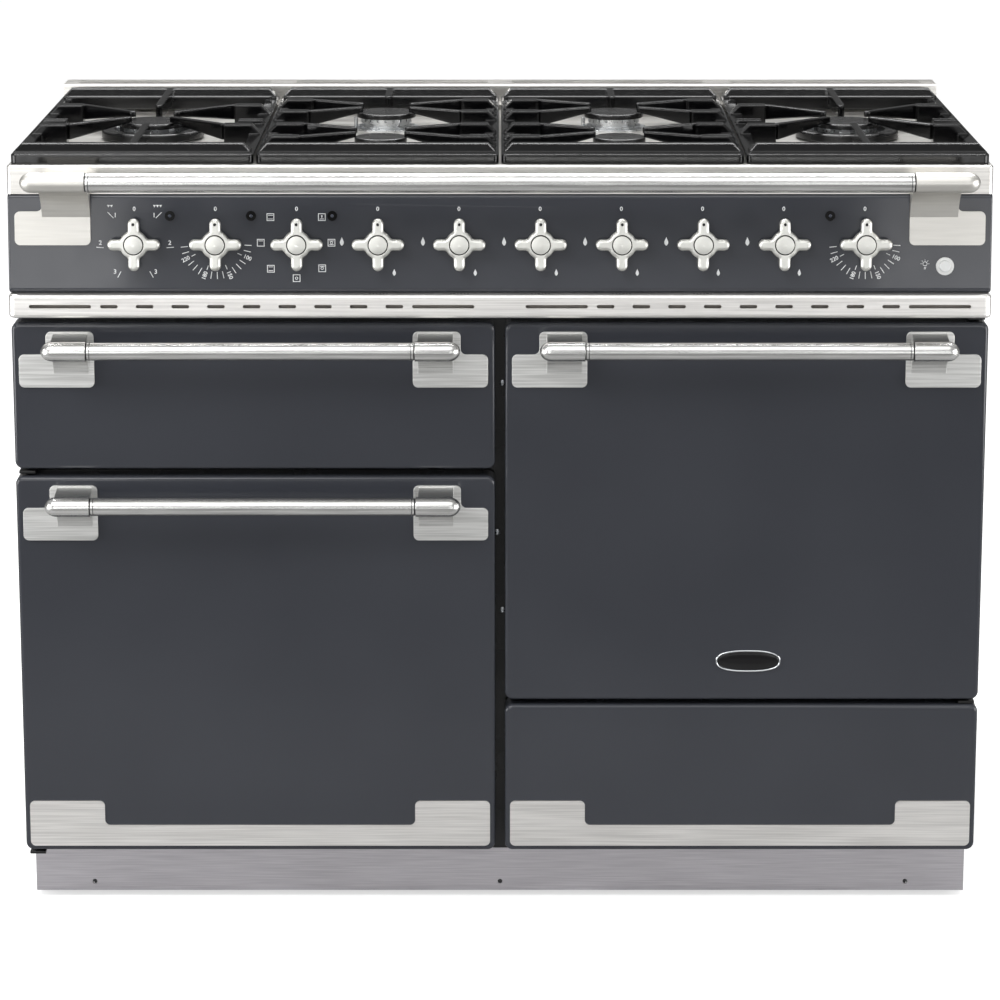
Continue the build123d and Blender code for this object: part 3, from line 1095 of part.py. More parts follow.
def pan_support(burner_ys, spread, front_finger):
    """Cast support: a low frame, raised end rails, side blocks with ribs, and the pan fingers."""
    w, d = SUPPORT_WIDTH / 2, SUPPORT_DEPTH / 2
    depth = UPPER_RAIL_STEP + UPPER_RAIL_DEPTH
    ring = extrude(RectangleRounded(2 * w, 2 * d, SUPPORT_CORNER), amount=SUPPORT_RAIL_HEIGHT)
    ring = fillet(ring.faces().sort_by(Axis.Z)[-1].edges(), SUPPORT_RAIL_ROUND)
    ring -= extrude(Rectangle(2 * (w - SUPPORT_RAIL), 2 * (d - depth)), amount=SUPPORT_RAIL_HEIGHT)
    for rail in end_rails(w, d):
        ring += rail
    for burner_y in burner_ys:
        for side in (-1, 1):
            for offset in (-spread, spread):
                root = (side * (w - BLOCK_LENGTH), burner_y + offset)
                ring += side_block(side * w, root[1], -side, BLOCK_LENGTH, BLOCK_WIDTH, SUPPORT_HEIGHT)
                ring += blade(root, toward(root, burner_y, SIDE_TIP_RADIUS), FINGER_TIP_HEIGHT)
            for offset in (-RIB_ASIDE, RIB_ASIDE):
                ring += side_block(side * w, burner_y + offset, -side, RIB_LENGTH, RIB_WIDTH, RIB_HEIGHT)
    back = (0, d - depth / 2)
    ring += blade(back, toward(back, burner_ys[-1], END_TIP_RADIUS), END_FINGER_HEIGHT)
    if front_finger:
        front = (0, depth / 2 - d)
        ring += blade(front, toward(front, burner_ys[0], END_TIP_RADIUS), END_FINGER_HEIGHT)
    return ring


def pan_supports():
    middle = FRONT_Y + SUPPORT_START + SUPPORT_DEPTH / 2
    outer_y = [FRONT_Y + OUTER_BURNER_DEPTH - middle]
    inner_y = [FRONT_Y + FRONT_BURNER_DEPTH - middle, FRONT_Y + REAR_BURNER_DEPTH - middle]
    outer = pan_support(outer_y, OUTER_SPREAD, True)
    inner = pan_support(inner_y, INNER_SPREAD, False)
    for name, shape, column in (("left_outer_pan_support", outer, -1.5),
                                ("left_inner_pan_support", inner, -0.5),
                                ("right_inner_pan_support", inner, 0.5),
                                ("right_outer_pan_support", outer, 1.5)):
        node(name, Pos(column * SUPPORT_PITCH, middle, HOB_TOP) * shape)


def main():
    os.makedirs("parts", exist_ok=True)
    shell_parts()
    seals()
    door_hinges()
    grill_door()
    oven_doors()
    drawer()
    grill_parts()
    heating_elements()
    fans()
    oven_racks()
    panel_parts()
    controls()
    front_rail()
    hob()
    burners()
    gas_lines()
    pan_supports()


main()
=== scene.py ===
"""Looks of a dual fuel range cooker: finishes, printed marks and small fittings around its CAD model."""

import json
import math

import bmesh
import bpy
from mathutils import Matrix, Vector


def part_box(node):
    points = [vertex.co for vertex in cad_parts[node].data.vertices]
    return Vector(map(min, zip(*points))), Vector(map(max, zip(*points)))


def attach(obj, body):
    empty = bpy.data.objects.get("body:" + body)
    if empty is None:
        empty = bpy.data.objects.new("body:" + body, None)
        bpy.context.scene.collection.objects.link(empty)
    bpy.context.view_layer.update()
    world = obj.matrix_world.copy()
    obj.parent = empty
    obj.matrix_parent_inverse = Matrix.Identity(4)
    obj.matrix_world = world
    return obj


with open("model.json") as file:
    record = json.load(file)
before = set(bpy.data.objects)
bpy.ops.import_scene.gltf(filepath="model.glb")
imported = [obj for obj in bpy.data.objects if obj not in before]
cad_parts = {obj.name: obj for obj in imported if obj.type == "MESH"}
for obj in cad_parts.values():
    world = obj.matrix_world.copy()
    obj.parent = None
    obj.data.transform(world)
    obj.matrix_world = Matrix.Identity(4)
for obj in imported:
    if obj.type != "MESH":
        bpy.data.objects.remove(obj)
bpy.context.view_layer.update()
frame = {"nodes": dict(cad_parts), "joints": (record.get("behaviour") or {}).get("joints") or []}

MM = 0.001
WHITE = (1.0, 1.0, 1.0, 1.0)
joints = {joint["name"]: joint for joint in frame["joints"]}
nodes = frame["nodes"]


def linear(code):
    """Linear RGBA from an sRGB hex colour."""
    channels = [int(code[i:i + 2], 16) / 255 for i in (1, 3, 5)]
    return (*(c / 12.92 if c <= 0.04045 else ((c + 0.055) / 1.055) ** 2.4 for c in channels), 1.0)


def new_object(name, data):
    """New object in the scene, at the origin."""
    made = bpy.data.objects.new(name, data)
    bpy.context.scene.collection.objects.link(made)
    return made


# Nodes and the patterns made of them

def cleared(owner):
    """Empty node tree of a new material or world."""
    owner.use_nodes = True
    owner.node_tree.nodes.clear()
    return owner.node_tree


def add(tree, kind, inputs=None, **settings):
    """Adds one node to a tree, with its settings, and fills or links its inputs."""
    made = tree.nodes.new(kind)
    for name, value in settings.items():
        setattr(made, name, value)
    for socket, value in (inputs or {}).items():
        if isinstance(value, bpy.types.NodeSocket):
            tree.links.new(value, made.inputs[socket])
        else:
            made.inputs[socket].default_value = value
    return made


def combined(tree, operation, *values):
    """Result of a math operation on values."""
    return add(tree, "ShaderNodeMath", dict(enumerate(values)), operation=operation).outputs["Value"]


def mapped(tree, value, given, wanted=(0.0, 1.0)):
    """Maps a value from one range onto another, and holds it at the ends."""
    ends = {"From Min": given[0], "From Max": given[1], "To Min": wanted[0], "To Max": wanted[1]}
    return add(tree, "ShaderNodeMapRange", {"Value": value, **ends}).outputs["Result"]


def place_along(tree, axis):
    """Object coordinate along one axis, in metres."""
    place = add(tree, "ShaderNodeTexCoord").outputs["Object"]
    return add(tree, "ShaderNodeSeparateXYZ", {"Vector": place}).outputs[axis]


def patches(tree, size_mm):
    """Object coordinates counted in patches of one size in millimetres, or of one each along X, Y and Z."""
    sizes = size_mm if isinstance(size_mm, tuple) else (size_mm,) * 3
    place = add(tree, "ShaderNodeTexCoord").outputs["Object"]
    scale = tuple(1 / (size * MM) for size in sizes)
    return add(tree, "ShaderNodeMapping", {"Vector": place, "Scale": scale}).outputs["Vector"]


def noise(tree, size_mm, detail=2.0):
    """Noise whose lumps have the size of a patch."""
    given = {"Vector": patches(tree, size_mm), "Scale": 1.0, "Detail": detail}
    return add(tree, "ShaderNodeTexNoise", given).outputs["Fac"]


def cells(tree, size_mm):
    """Outputs of a pattern of irregular cells, each about the size of a patch."""
    return add(tree, "ShaderNodeTexVoronoi", {"Vector": patches(tree, size_mm), "Scale": 1.0}).outputs


NOISE_RANGE = (0.3, 0.7)


def between(tree, value, low, high):
    """Maps a noise value, which stays near the middle of its range, onto low to high."""
    return mapped(tree, value, NOISE_RANGE, (low, high))


# Places of the Mix node's colour sockets, whose names its number and vector sockets share
MIX_FACTOR = 0
MIX_FIRST = 6
MIX_SECOND = 7
MIX_RESULT = 2


def blend(tree, factor, first, second):
    """Colour between two sRGB shades by a factor from 0 to 1."""
    given = {MIX_FACTOR: factor, MIX_FIRST: linear(first), MIX_SECOND: linear(second)}
    return add(tree, "ShaderNodeMix", given, data_type="RGBA").outputs[MIX_RESULT]


def shades(tree, value, dark, light):
    """Colour between two sRGB shades by a noise value."""
    return blend(tree, between(tree, value, 0.0, 1.0), dark, light)


def grey_ramp(tree, value, stops):
    """Grey level by a value from 0 to 1, from (value, grey) stops."""
    ramp = add(tree, "ShaderNodeValToRGB", {"Fac": value})
    levels = ramp.color_ramp.elements
    while len(levels) < len(stops):
        levels.new(0.5)
    for level, (at, grey) in zip(levels, stops):
        level.position = at
        level.color = (grey, grey, grey, 1.0)
    return ramp.outputs["Color"]


# Materials

def finish(name, **values):
    """New material with one Principled shader and uniform values on its sockets, named with _ for a space."""
    material = bpy.data.materials.new(name)
    tree = cleared(material)
    sockets = {socket.replace("_", " "): value for socket, value in values.items()}
    shader = add(tree, "ShaderNodeBsdfPrincipled", sockets)
    add(tree, "ShaderNodeOutputMaterial", {"Surface": shader.outputs["BSDF"]})
    return material, tree, shader


def drive(tree, shader, socket, value):
    """Links a pattern to a socket of the shader."""
    tree.links.new(value, shader.inputs[socket])


def tint(tree, shader, size_mm, dark, light):
    """Colour that wanders between two shades from patch to patch."""
    drive(tree, shader, "Base Color", shades(tree, noise(tree, size_mm), dark, light))


def sheen(tree, shader, size_mm, low, high):
    """Roughness that wanders between two values from patch to patch."""
    drive(tree, shader, "Roughness", between(tree, noise(tree, size_mm), low, high))


def relief(tree, shader, height, depth_mm, edge_mm):
    """Surface relief of a depth in millimetres, over edges that are rounded by a radius in millimetres."""
    given = {"Height": height, "Distance": depth_mm * MM, "Strength": 1.0}
    if edge_mm:
        given["Normal"] = add(tree, "ShaderNodeBevel", {"Radius": edge_mm * MM}, samples=8).outputs["Normal"]
    drive(tree, shader, "Normal", add(tree, "ShaderNodeBump", given).outputs["Normal"])


def grain(tree, shader, size_mm, depth_mm, edge_mm, detail=2.0):
    """Relief of lumps that have the size of a patch."""
    relief(tree, shader, noise(tree, size_mm, detail), depth_mm, edge_mm)


def slate_enamel():
    # Vitreous enamel fired on pressed steel: glassy slate grey, a slow orange-peel ripple in its gloss.
    material, tree, shader = finish("slate_vitreous_enamel", IOR=1.42)
    tint(tree, shader, 220, "#383a40", "#3d3f45")
    sheen(tree, shader, 35, 0.06, 0.11)
    grain(tree, shader, 9, 0.003, 2.0, detail=1.0)
    return material


def black_enamel():
    # Satin black enamel on sheet steel and burner caps: near black, with a faint ripple of about 4 mm.
    material, tree, shader = finish("satin_black_enamel", IOR=1.48)
    tint(tree, shader, 60, "#070708", "#0c0c0d")
    sheen(tree, shader, 40, 0.24, 0.3)
    grain(tree, shader, 4, 0.0008, 0.8, detail=0.0)
    return material


def cavity_enamel():
    # Oven enamel: dark grey glass, its glaze speckled with pale flecks of about 1 mm.
    material, tree, shader = finish("speckled_oven_enamel", Roughness=0.16, IOR=1.52)
    fleck = mapped(tree, cells(tree, 3.2)["Distance"], (0.22, 0.12))
    chosen = mapped(tree, noise(tree, 4), (0.52, 0.6))
    amount = combined(tree, "MULTIPLY", fleck, chosen)
    drive(tree, shader, "Base Color", blend(tree, amount, "#232427", "#8d9298"))
    grain(tree, shader, 9, 0.008, 1.0, detail=1.0)
    return material


BRUSH_DEPTH = 0.0004


def brushed_steel(name, dark, light, streak_mm, edge_mm=0.0):
    """Stainless steel brushed along X, in fine lines of two shades. Its roughness is still to be driven."""
    material, tree, shader = finish(name, Metallic=1.0)
    lines = noise(tree, streak_mm, detail=1.0)
    drive(tree, shader, "Base Color", shades(tree, lines, dark, light))
    relief(tree, shader, lines, BRUSH_DEPTH, edge_mm)
    return material, tree, shader


def steel_sheet(name, dark, light, roughness, streak_mm):
    """Brushed stainless sheet, whose shine wanders slowly between two roughnesses."""
    material, tree, shader = brushed_steel(name, dark, light, streak_mm)
    sheen(tree, shader, (90, 30, 30), *roughness)
    return material


def stainless():
    # Brushed stainless sheet of the hob and its rear trim. The real lines are about 0.1 mm apart
    # and are drawn as faint bands of about 2 mm, so that they show at this distance.
    return steel_sheet("brushed_stainless_sheet", "#c8c6c2", "#dddbd7", (0.3, 0.36), (120, 1.8, 1.8))


def lit_trim_steel():
    # Brushed stainless of the vent strip and the kick trims, soft in its shine; its paler colour is painted
    # light, which brightens them beyond the hob's steel.
    return steel_sheet("brushed_trim_painted_light", "#d9d7d4", "#f0eeeb", (0.36, 0.42), (90, 1.8, 1.8))


def satin_bracket():
    # Bead-blasted stainless of the rail brackets: a similar steel, with a soft even shine.
    return steel_sheet("satin_stainless", "#c6c4bf", "#cfcdc8", (0.4, 0.46), (60, 4.0, 4.0))


def plinth_steel():
    # Stainless plinth: duller and greyer than the bright trims, with level lines.
    return steel_sheet("grey_plinth_stainless", "#bcb9be", "#ccc9cd", (0.38, 0.48), (60, 1.6, 1.6))


# How far in front of the doors the handles' steel turns from bars to plates, and the roughness of each
PLATE_REACH = (-30 * MM, -8 * MM)
BAR_TO_PLATE = (0.27, 0.42)


def handle_steel():
    # Brushed handle steel: the plates against the doors have a coarse satin brush, with level lines
    # of about 2 mm, and the bars in front of them are rubbed finer, so they mirror more sharply.
    material, tree, shader = brushed_steel("brushed_handle_steel", "#b9b9b7", "#d6d6d4", (70, 1.9, 1.9), 0.9)
    door_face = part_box("left_oven_door")[0].y
    reach = [door_face + forward for forward in PLATE_REACH]
    drive(tree, shader, "Roughness", mapped(tree, place_along(tree, "Y"), reach, BAR_TO_PLATE))
    return material


def galvanised():
    # Zinc-coated sheet: pale grey, with crystal spangles of about 14 mm that catch light apart.
    material, tree, shader = finish("galvanised_sheet", Metallic=1.0)
    spangle = add(tree, "ShaderNodeSeparateColor", {"Color": cells(tree, 14)["Color"]}).outputs["Red"]
    drive(tree, shader, "Base Color", blend(tree, spangle, "#9a9ea1", "#b9bdc0"))
    drive(tree, shader, "Roughness", mapped(tree, spangle, (0.0, 1.0), (0.34, 0.52)))
    grain(tree, shader, 5, 0.01, 0.5)
    return material


def satin_nickel():
    # Satin nickel plate on cast zinc knobs: warm pale metal, evenly blasted, so its shading is soft.
    material, tree, shader = finish("satin_nickel_plate", Metallic=1.0)
    tint(tree, shader, 14, "#cbcbc6", "#d4d4cf")
    sheen(tree, shader, 5, 0.4, 0.48)
    grain(tree, shader, 1.5, 0.002, 0.5, detail=1.0)
    return material


def chromed_wire():
    # Bright chrome plate on round wire: mirror metal, faintly blue, with slight waviness.
    material, tree, shader = finish("chromed_wire", Base_Color=linear("#d4d7da"), Metallic=1.0)
    sheen(tree, shader, 20, 0.05, 0.14)
    grain(tree, shader, 6, 0.01, 0.3, detail=1.0)
    return material


def cast_iron():
    # Black-enamelled cast iron: the sand mould's grain of about 3 mm under a gloss glaze,
    # with edges round enough to catch a bright line of light.
    material, tree, shader = finish("enamelled_cast_iron", IOR=1.42)
    tint(tree, shader, 25, "#040405", "#080809")
    sheen(tree, shader, 6, 0.1, 0.16)
    grain(tree, shader, 2.6, 0.003, 3.2, detail=1.0)
    return material


def burner_alloy():
    # Die-cast aluminium of burner parts and fans: pale grey metal, softly tumbled.
    material, tree, shader = finish("cast_aluminium", Metallic=1.0)
    tint(tree, shader, 9, "#bcbec0", "#d0d2d3")
    sheen(tree, shader, 4, 0.24, 0.38)
    grain(tree, shader, 0.9, 0.01, 0.5)
    return material


def brass_gas():
    # Forged brass gas taps: yellow metal with a dull forged skin.
    material, tree, shader = finish("forged_brass", Roughness=0.34, Metallic=1.0)
    tint(tree, shader, 8, "#a98748", "#c7a768")
    grain(tree, shader, 1.5, 0.02, 0.6)
    return material


def pipe_alloy():
    # Drawn aluminium gas pipe: pale metal with a faintly uneven skin.
    material, tree, shader = finish("drawn_aluminium_pipe", Base_Color=linear("#b9bcbe"), Metallic=1.0)
    sheen(tree, shader, 10, 0.24, 0.4)
    grain(tree, shader, 2, 0.006, 0.4)
    return material


def element_steel():
    # Nickel steel of heating elements and fan motors, oxidised by heat to a dull brown grey.
    material, tree, shader = finish("oxidised_element_sheath", Roughness=0.5, Metallic=1.0)
    tint(tree, shader, 30, "#4d4946", "#6e675f")
    grain(tree, shader, 1.5, 0.02, 0.4)
    return material


def lamp_black():
    # Glossy black ring of the neon lamps.
    material, tree, shader = finish("gloss_black_ring", Base_Color=linear("#020203"), IOR=1.25)
    sheen(tree, shader, 3, 0.12, 0.2)
    return material


def lamp_glass():
    # Dark blue-grey lens of an unlit neon lamp: smooth, with a bright glint.
    material, tree, shader = finish("smoked_lens", Base_Color=linear("#2b3140"), IOR=1.6)
    sheen(tree, shader, 4, 0.04, 0.09)
    return material


def zinc_screw():
    # Bright zinc plate on pressed screw heads.
    material, tree, shader = finish("bright_zinc_plate", Base_Color=linear("#b7bbbf"), Metallic=1.0)
    sheen(tree, shader, 2, 0.2, 0.36)
    grain(tree, shader, 0.6, 0.004, 0.2)
    return material


def moulded(name, dark, light, roughness, grit_mm):
    """Rubber, plastic, print or lacquer: soft patches of two shades over a fine grit."""
    material, tree, shader = finish(name, Roughness=roughness, IOR=1.46)
    tint(tree, shader, 18, dark, light)
    grain(tree, shader, grit_mm, 0.012, 0.4)
    return material


def seal_rubber():
    # Moulded silicone door seal: matt dark grey; also the discs of painted shade behind the plinth's holes.
    return moulded("moulded_silicone", "#2a2a2b", "#343435", 0.62, 1.4)


def black_plastic():
    # Moulded black nylon of the black plastic parts, with a soft sheen; in the collar grooves of the bars it
    # is painted shade.
    return moulded("moulded_black_nylon_and_shade", "#0c0d10", "#131418", 0.28, 0.9)


def switch_plastic():
    # Moulded phenolic of the switch bodies and the push button's white bezel.
    return moulded("moulded_white_phenolic", "#dfe0df", "#ebecea", 0.3, 0.9)


def button_plastic():
    # Moulded white nylon of the push button.
    return moulded("moulded_white_nylon", "#d9dbdb", "#e8e9e8", 0.26, 0.8)


def print_white():
    # Fired white ceramic print on the enamel: flat, slightly rough.
    return moulded("fired_white_print", "#e9ebec", "#f4f5f5", 0.4, 0.5)


def print_black():
    # Etched black marks on the steel ledge.
    return moulded("etched_black_mark", "#1b1b1c", "#262627", 0.5, 0.5)


def gloss_black_and_shade():
    # Gloss black lacquer on the bare oval plate and in the knobs' dimples; the ring in the groove round each
    # knob's cap is painted shade.
    return moulded("gloss_black_lacquer_and_shade", "#060607", "#0c0c0e", 0.12, 2.0)


def slot_shade_sheet():
    # Dull warm grey sheet on the baffle behind the vent slots: painted shade, the dim look of the slots'
    # insides.
    return moulded("painted_slot_shade", "#a39c95", "#b0a9a2", 0.7, 1.5)


FINISHES = {
    "slate_enamel": slate_enamel(),
    "black_enamel": black_enamel(),
    "cavity_enamel": cavity_enamel(),
    "stainless": stainless(),
    "polished_stainless": handle_steel(),
    "galvanised": galvanised(),
    "nickel": satin_nickel(),
    "chromed_wire": chromed_wire(),
    "cast_iron": cast_iron(),
    "burner_alloy": burner_alloy(),
    "brass_gas": brass_gas(),
    "pipe_alloy": pipe_alloy(),
    "element_steel": element_steel(),
    "seal_rubber": seal_rubber(),
    "black_plastic": black_plastic(),
    "switch_plastic": switch_plastic(),
    "button_plastic": button_plastic(),
}
LIT_TRIM_STEEL = lit_trim_steel()
NODE_FINISHES = {
    "vent_strip": LIT_TRIM_STEEL,
    "left_door_trim": LIT_TRIM_STEEL,
    "drawer_trim": LIT_TRIM_STEEL,
    "plinth": plinth_steel(),
    "rail_brackets": satin_bracket(),
    "neon_lamps": lamp_black(),
    "door_hinges": FINISHES["black_enamel"],
}
PRINT_WHITE = print_white()
PRINT_BLACK = print_black()
GLOSS_BLACK_AND_SHADE = gloss_black_and_shade()
LAMP_GLASS = lamp_glass()
SLOT_SHADE = slot_shade_sheet()
ZINC = zinc_screw()

for name, part in nodes.items():
    for place in part.material_slots:
        slot = place.material.name.split(".")[0]
        place.material = NODE_FINISHES.get(name, FINISHES[slot])


# Geometry Nodes trees for what repeats

def start_tree(name, **inputs):
    """New Geometry Nodes tree with a geometry input and named further inputs."""
    tree = bpy.data.node_groups.new(name, "GeometryNodeTree")
    tree.interface.new_socket("Geometry", in_out="INPUT", socket_type="NodeSocketGeometry")
    for label, kind in inputs.items():
        tree.interface.new_socket(label, in_out="INPUT", socket_type=kind)
    tree.interface.new_socket("Finish", in_out="INPUT", socket_type="NodeSocketMaterial")
    tree.interface.new_socket("Geometry", in_out="OUTPUT", socket_type="NodeSocketGeometry")
    return tree, add(tree, "NodeGroupInput").outputs


def end_tree(tree, points, shape, finish_socket, **turn):
    """Sets copies of a shape on points, realizes them and gives them their material."""
    given = {"Points": points, "Instance": shape, **turn}
    copies = add(tree, "GeometryNodeInstanceOnPoints", given).outputs["Instances"]
    real = add(tree, "GeometryNodeRealizeInstances", {"Geometry": copies}).outputs["Geometry"]
    named = add(tree, "GeometryNodeSetMaterial", {"Geometry": real, "Material": finish_socket})
    add(tree, "NodeGroupOutput", {"Geometry": named.outputs["Geometry"]})
    return tree


def row_tree():
    """Copies of a piece in a straight row."""
    tree, given = start_tree("row_of_copies", Count="NodeSocketInt", Step="NodeSocketVector")
    line = add(tree, "GeometryNodeMeshLine", {"Count": given["Count"], "Offset": given["Step"]})
    return end_tree(tree, line.outputs["Mesh"], given["Geometry"], given["Finish"])


def dial_tree():
    """Copies of a piece turned about Z, from a start angle in equal steps."""
    tree, given = start_tree("copies_round_a_dial", Count="NodeSocketInt", Start="NodeSocketFloat",
                             Step="NodeSocketFloat")
    line = add(tree, "GeometryNodeMeshLine", {"Count": given["Count"], "Offset": (0.0, 0.0, 0.0)})
    index = add(tree, "GeometryNodeInputIndex").outputs["Index"]
    angle = combined(tree, "MULTIPLY_ADD", index, given["Step"], given["Start"])
    turn = add(tree, "ShaderNodeCombineXYZ", {"Z": angle}).outputs["Vector"]
    return end_tree(tree, line.outputs["Mesh"], given["Geometry"], given["Finish"], Rotation=turn)


def screw_tree():
    """A screw head on each point, its axis along the point's facing attribute."""
    tree, given = start_tree("screw_heads", Head="NodeSocketObject")
    head = add(tree, "GeometryNodeObjectInfo", {"Object": given["Head"]}).outputs["Geometry"]
    facing = add(tree, "GeometryNodeInputNamedAttribute", {"Name": "facing"}, data_type="FLOAT_VECTOR")
    turn = add(tree, "FunctionNodeAlignRotationToVector", {"Vector": facing.outputs["Attribute"]}, axis="Z")
    return end_tree(tree, given["Geometry"], head, given["Finish"], Rotation=turn.outputs["Rotation"])


ROW = row_tree()
DIAL = dial_tree()
SCREWS = screw_tree()


# Pieces as plain meshes at the origin

def shown(name, mesh, material, body):
    """Makes a finished piece of a mesh, riding on a body, with its finish."""
    mesh.name = name
    mesh.materials.clear()
    mesh.materials.append(material)
    piece = new_object(name, mesh)
    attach(piece, body)


def meshed(data, tree=None, **inputs):
    """Plain mesh of a text, of a flat curve or of what a Geometry Nodes tree makes of a mesh."""
    holder = new_object("holder", data)
    if tree:
        modifier = holder.modifiers.new(tree.name, "NODES")
        modifier.node_group = tree
        for item in tree.interface.items_tree:
            if item.in_out == "INPUT" and item.name in inputs:
                modifier[item.identifier] = inputs[item.name]
    bpy.context.view_layer.update()
    mesh = bpy.data.meshes.new_from_object(holder.evaluated_get(bpy.context.evaluated_depsgraph_get()))
    bpy.data.objects.remove(holder)
    return mesh


def joined(parts):
    """One mesh of several meshes, each moved by its matrix."""
    whole = bmesh.new()
    for mesh, matrix in parts:
        copy = mesh.copy()
        copy.transform(matrix)
        whole.from_mesh(copy)
        bpy.data.meshes.remove(copy)
    bmesh.ops.remove_doubles(whole, verts=whole.verts, dist=1e-7)
    bmesh.ops.recalc_face_normals(whole, faces=whole.faces)
    made = bpy.data.meshes.new("joined")
    whole.to_mesh(made)
    whole.free()
    return made


def spoke(degrees, radius=1.0):
    """Point at an angle and a radius from the centre."""
    turn = math.radians(degrees)
    return radius * math.cos(turn), radius * math.sin(turn)


def block(low, high):
    """Box between two corners."""
    mesh = bpy.data.meshes.new("block")
    corners = [(x, y, z) for x in (low[0], high[0]) for y in (low[1], high[1]) for z in (low[2], high[2])]
    faces = [(0, 1, 3, 2), (4, 6, 7, 5), (0, 4, 5, 1), (2, 3, 7, 6), (0, 2, 6, 4), (1, 5, 7, 3)]
    mesh.from_pydata(corners, [], faces)
    return mesh


def skinned(rings, capped=False):
    """Mesh of smooth bands from ring to ring of points. A ring of one point is a tip, and caps are flat."""
    whole = bmesh.new()
    loops = [[whole.verts.new(point) for point in points] for points in rings]
    sides = max(len(loop) for loop in loops)
    for low, high in zip(loops, loops[1:]):
        for i in range(sides):
            here = (low[i % len(low)], high[i % len(high)])
            after = (low[(i + 1) % len(low)], high[(i + 1) % len(high)])
            whole.faces.new(dict.fromkeys((here[0], after[0], after[1], here[1])))
    for face in whole.faces:
        face.smooth = True
    if capped:
        whole.faces.new(loops[0])
        whole.faces.new(loops[-1])
    bmesh.ops.recalc_face_normals(whole, faces=whole.faces)
    made = bpy.data.meshes.new("skinned")
    whole.to_mesh(made)
    whole.free()
    return made


def turned_mesh(profile, sides):
    """Solid of revolution about Z from (radius, height) pairs in millimetres, between the axis or closed."""
    rings = []
    for radius, height in profile:
        spokes = [spoke(360 * i / sides, radius * MM) for i in range(sides if radius else 1)]
        rings.append([(x, y, height * MM) for x, y in spokes])
    return skinned(rings)


# Printed marks: drawn flat, in millimetres

PRINT_THICK = 0.12 * MM
STROKE = 0.85
# Height of a digit as a share of the font's size, and how far its outline grows
DIGIT_SHARE = 0.7
DIGIT_BOLDER = 0.15 * MM


def flat_print(loops):
    """Thin mark of closed loops of points in millimetres; a loop inside another is a hole."""
    curve = bpy.data.curves.new("mark", "CURVE")
    curve.dimensions = "2D"
    curve.fill_mode = "BOTH"
    curve.extrude = PRINT_THICK / 2
    for loop in loops:
        spline = curve.splines.new("POLY")
        spline.points.add(len(loop) - 1)
        for point, (x, y) in zip(spline.points, loop):
            point.co = (x * MM, y * MM, 0, 1)
        spline.use_cyclic_u = True
    return meshed(curve)


def digits(text, height):
    """Printed number, centred, with digits of a height in millimetres."""
    font = bpy.data.curves.new("digits", "FONT")
    font.body = text
    font.size = height * MM / DIGIT_SHARE
    font.align_x = "CENTER"
    font.align_y = "CENTER"
    font.extrude = PRINT_THICK / 2
    font.offset = DIGIT_BOLDER
    font.resolution_u = 4
    return meshed(font)


def bar(x0, y0, x1, y1, width=STROKE):
    """Loop of a straight printed stroke between two points."""
    run = Vector((x1 - x0, y1 - y0)).normalized() * width / 2
    return [(x0 - run.y, y0 + run.x), (x0 + run.y, y0 - run.x),
            (x1 + run.y, y1 - run.x), (x1 - run.y, y1 + run.x)]


def rectangle(x0, y0, x1, y1):
    """Loop of a rectangle between two corners."""
    return [(x0, y0), (x1, y0), (x1, y1), (x0, y1)]


def ring(x, y, radius, sides=20):
    """Loop of a circle about a point."""
    return [(x + dx, y + dy) for dx, dy in (spoke(360 * i / sides, radius) for i in range(sides))]


def flame(height, width, steps=10):
    """Leaf-shaped flame: pointed above, round below."""
    share = [i / steps for i in range(steps + 1)]
    half = [width / 2 * math.sin(math.pi * s ** 1.5) ** 0.85 if 0 < s < 1 else 0.0 for s in share]
    right = [(w, height * (0.5 - s)) for s, w in zip(share, half)]
    left = [(-x, y) for x, y in reversed(right[1:-1])]
    return right + left


def moved(x=0.0, y=0.0, turn=0.0):
    """Matrix to a place in millimetres on the dial plane, turned by degrees."""
    return Matrix.Translation((x * MM, y * MM, 0)) @ Matrix.Rotation(math.radians(turn), 4, "Z")


# Control panel: its dials, whose places come from the knobs' own joints

BURNER_KNOBS = [f"knob_burner_{number}" for number in range(1, 7)]
LEFT_KNOBS = ["knob_grill", "knob_left_oven_heat", "knob_left_oven_function"]
RIGHT_KNOB = "knob_right_oven_heat"
KNOBS = [*LEFT_KNOBS, *BURNER_KNOBS, RIGHT_KNOB]
PANEL_OUT = Vector(joints["knob_grill_turn"]["axis"]).normalized()
PANEL_UP = PANEL_OUT.cross(Vector((1, 0, 0))).normalized()


def knob_seat(knob):
    """Middle of a knob on the panel's face."""
    return Vector(joints[knob + "_turn"]["pos_m"])


KNOB_STEP = (knob_seat("knob_burner_2") - knob_seat("knob_burner_1")).x


def dial_place(knob, lift=0.0):
    """Matrix of a knob's dial on the panel: X right, Y up the slope, Z out of it."""
    turn = Matrix((Vector((1, 0, 0)), PANEL_UP, PANEL_OUT)).transposed().to_4x4()
    return Matrix.Translation(knob_seat(knob) + PANEL_OUT * lift) @ turn


def printed(name, parts, knob):
    """White printed marks on the panel, drawn about a knob's centre."""
    mesh = joined(parts)
    mesh.transform(dial_place(knob, PRINT_THICK / 2))
    shown(name, mesh, PRINT_WHITE, "chassis")


def knob_row(mark, count):
    """Row of copies of a mark, one at each of several neighbouring knobs."""
    return meshed(mark, ROW, Count=count, Step=(KNOB_STEP, 0.0, 0.0), Finish=PRINT_WHITE)


ZERO_DIGIT = 4.6
ZERO_PLACE = (-0.5, 38.5)


def zero_marks():
    """The 0 above every knob."""
    row = knob_row(digits("0", ZERO_DIGIT), len(KNOBS))
    printed("panel_zero_marks", [(row, moved(*ZERO_PLACE))], "knob_grill")


# Place, height and width of the high flame and the low flame
FLAMES = [((-40.5, 2.5), 10.0, 4.4), ((17.5, -32.0), 8.0, 3.6)]


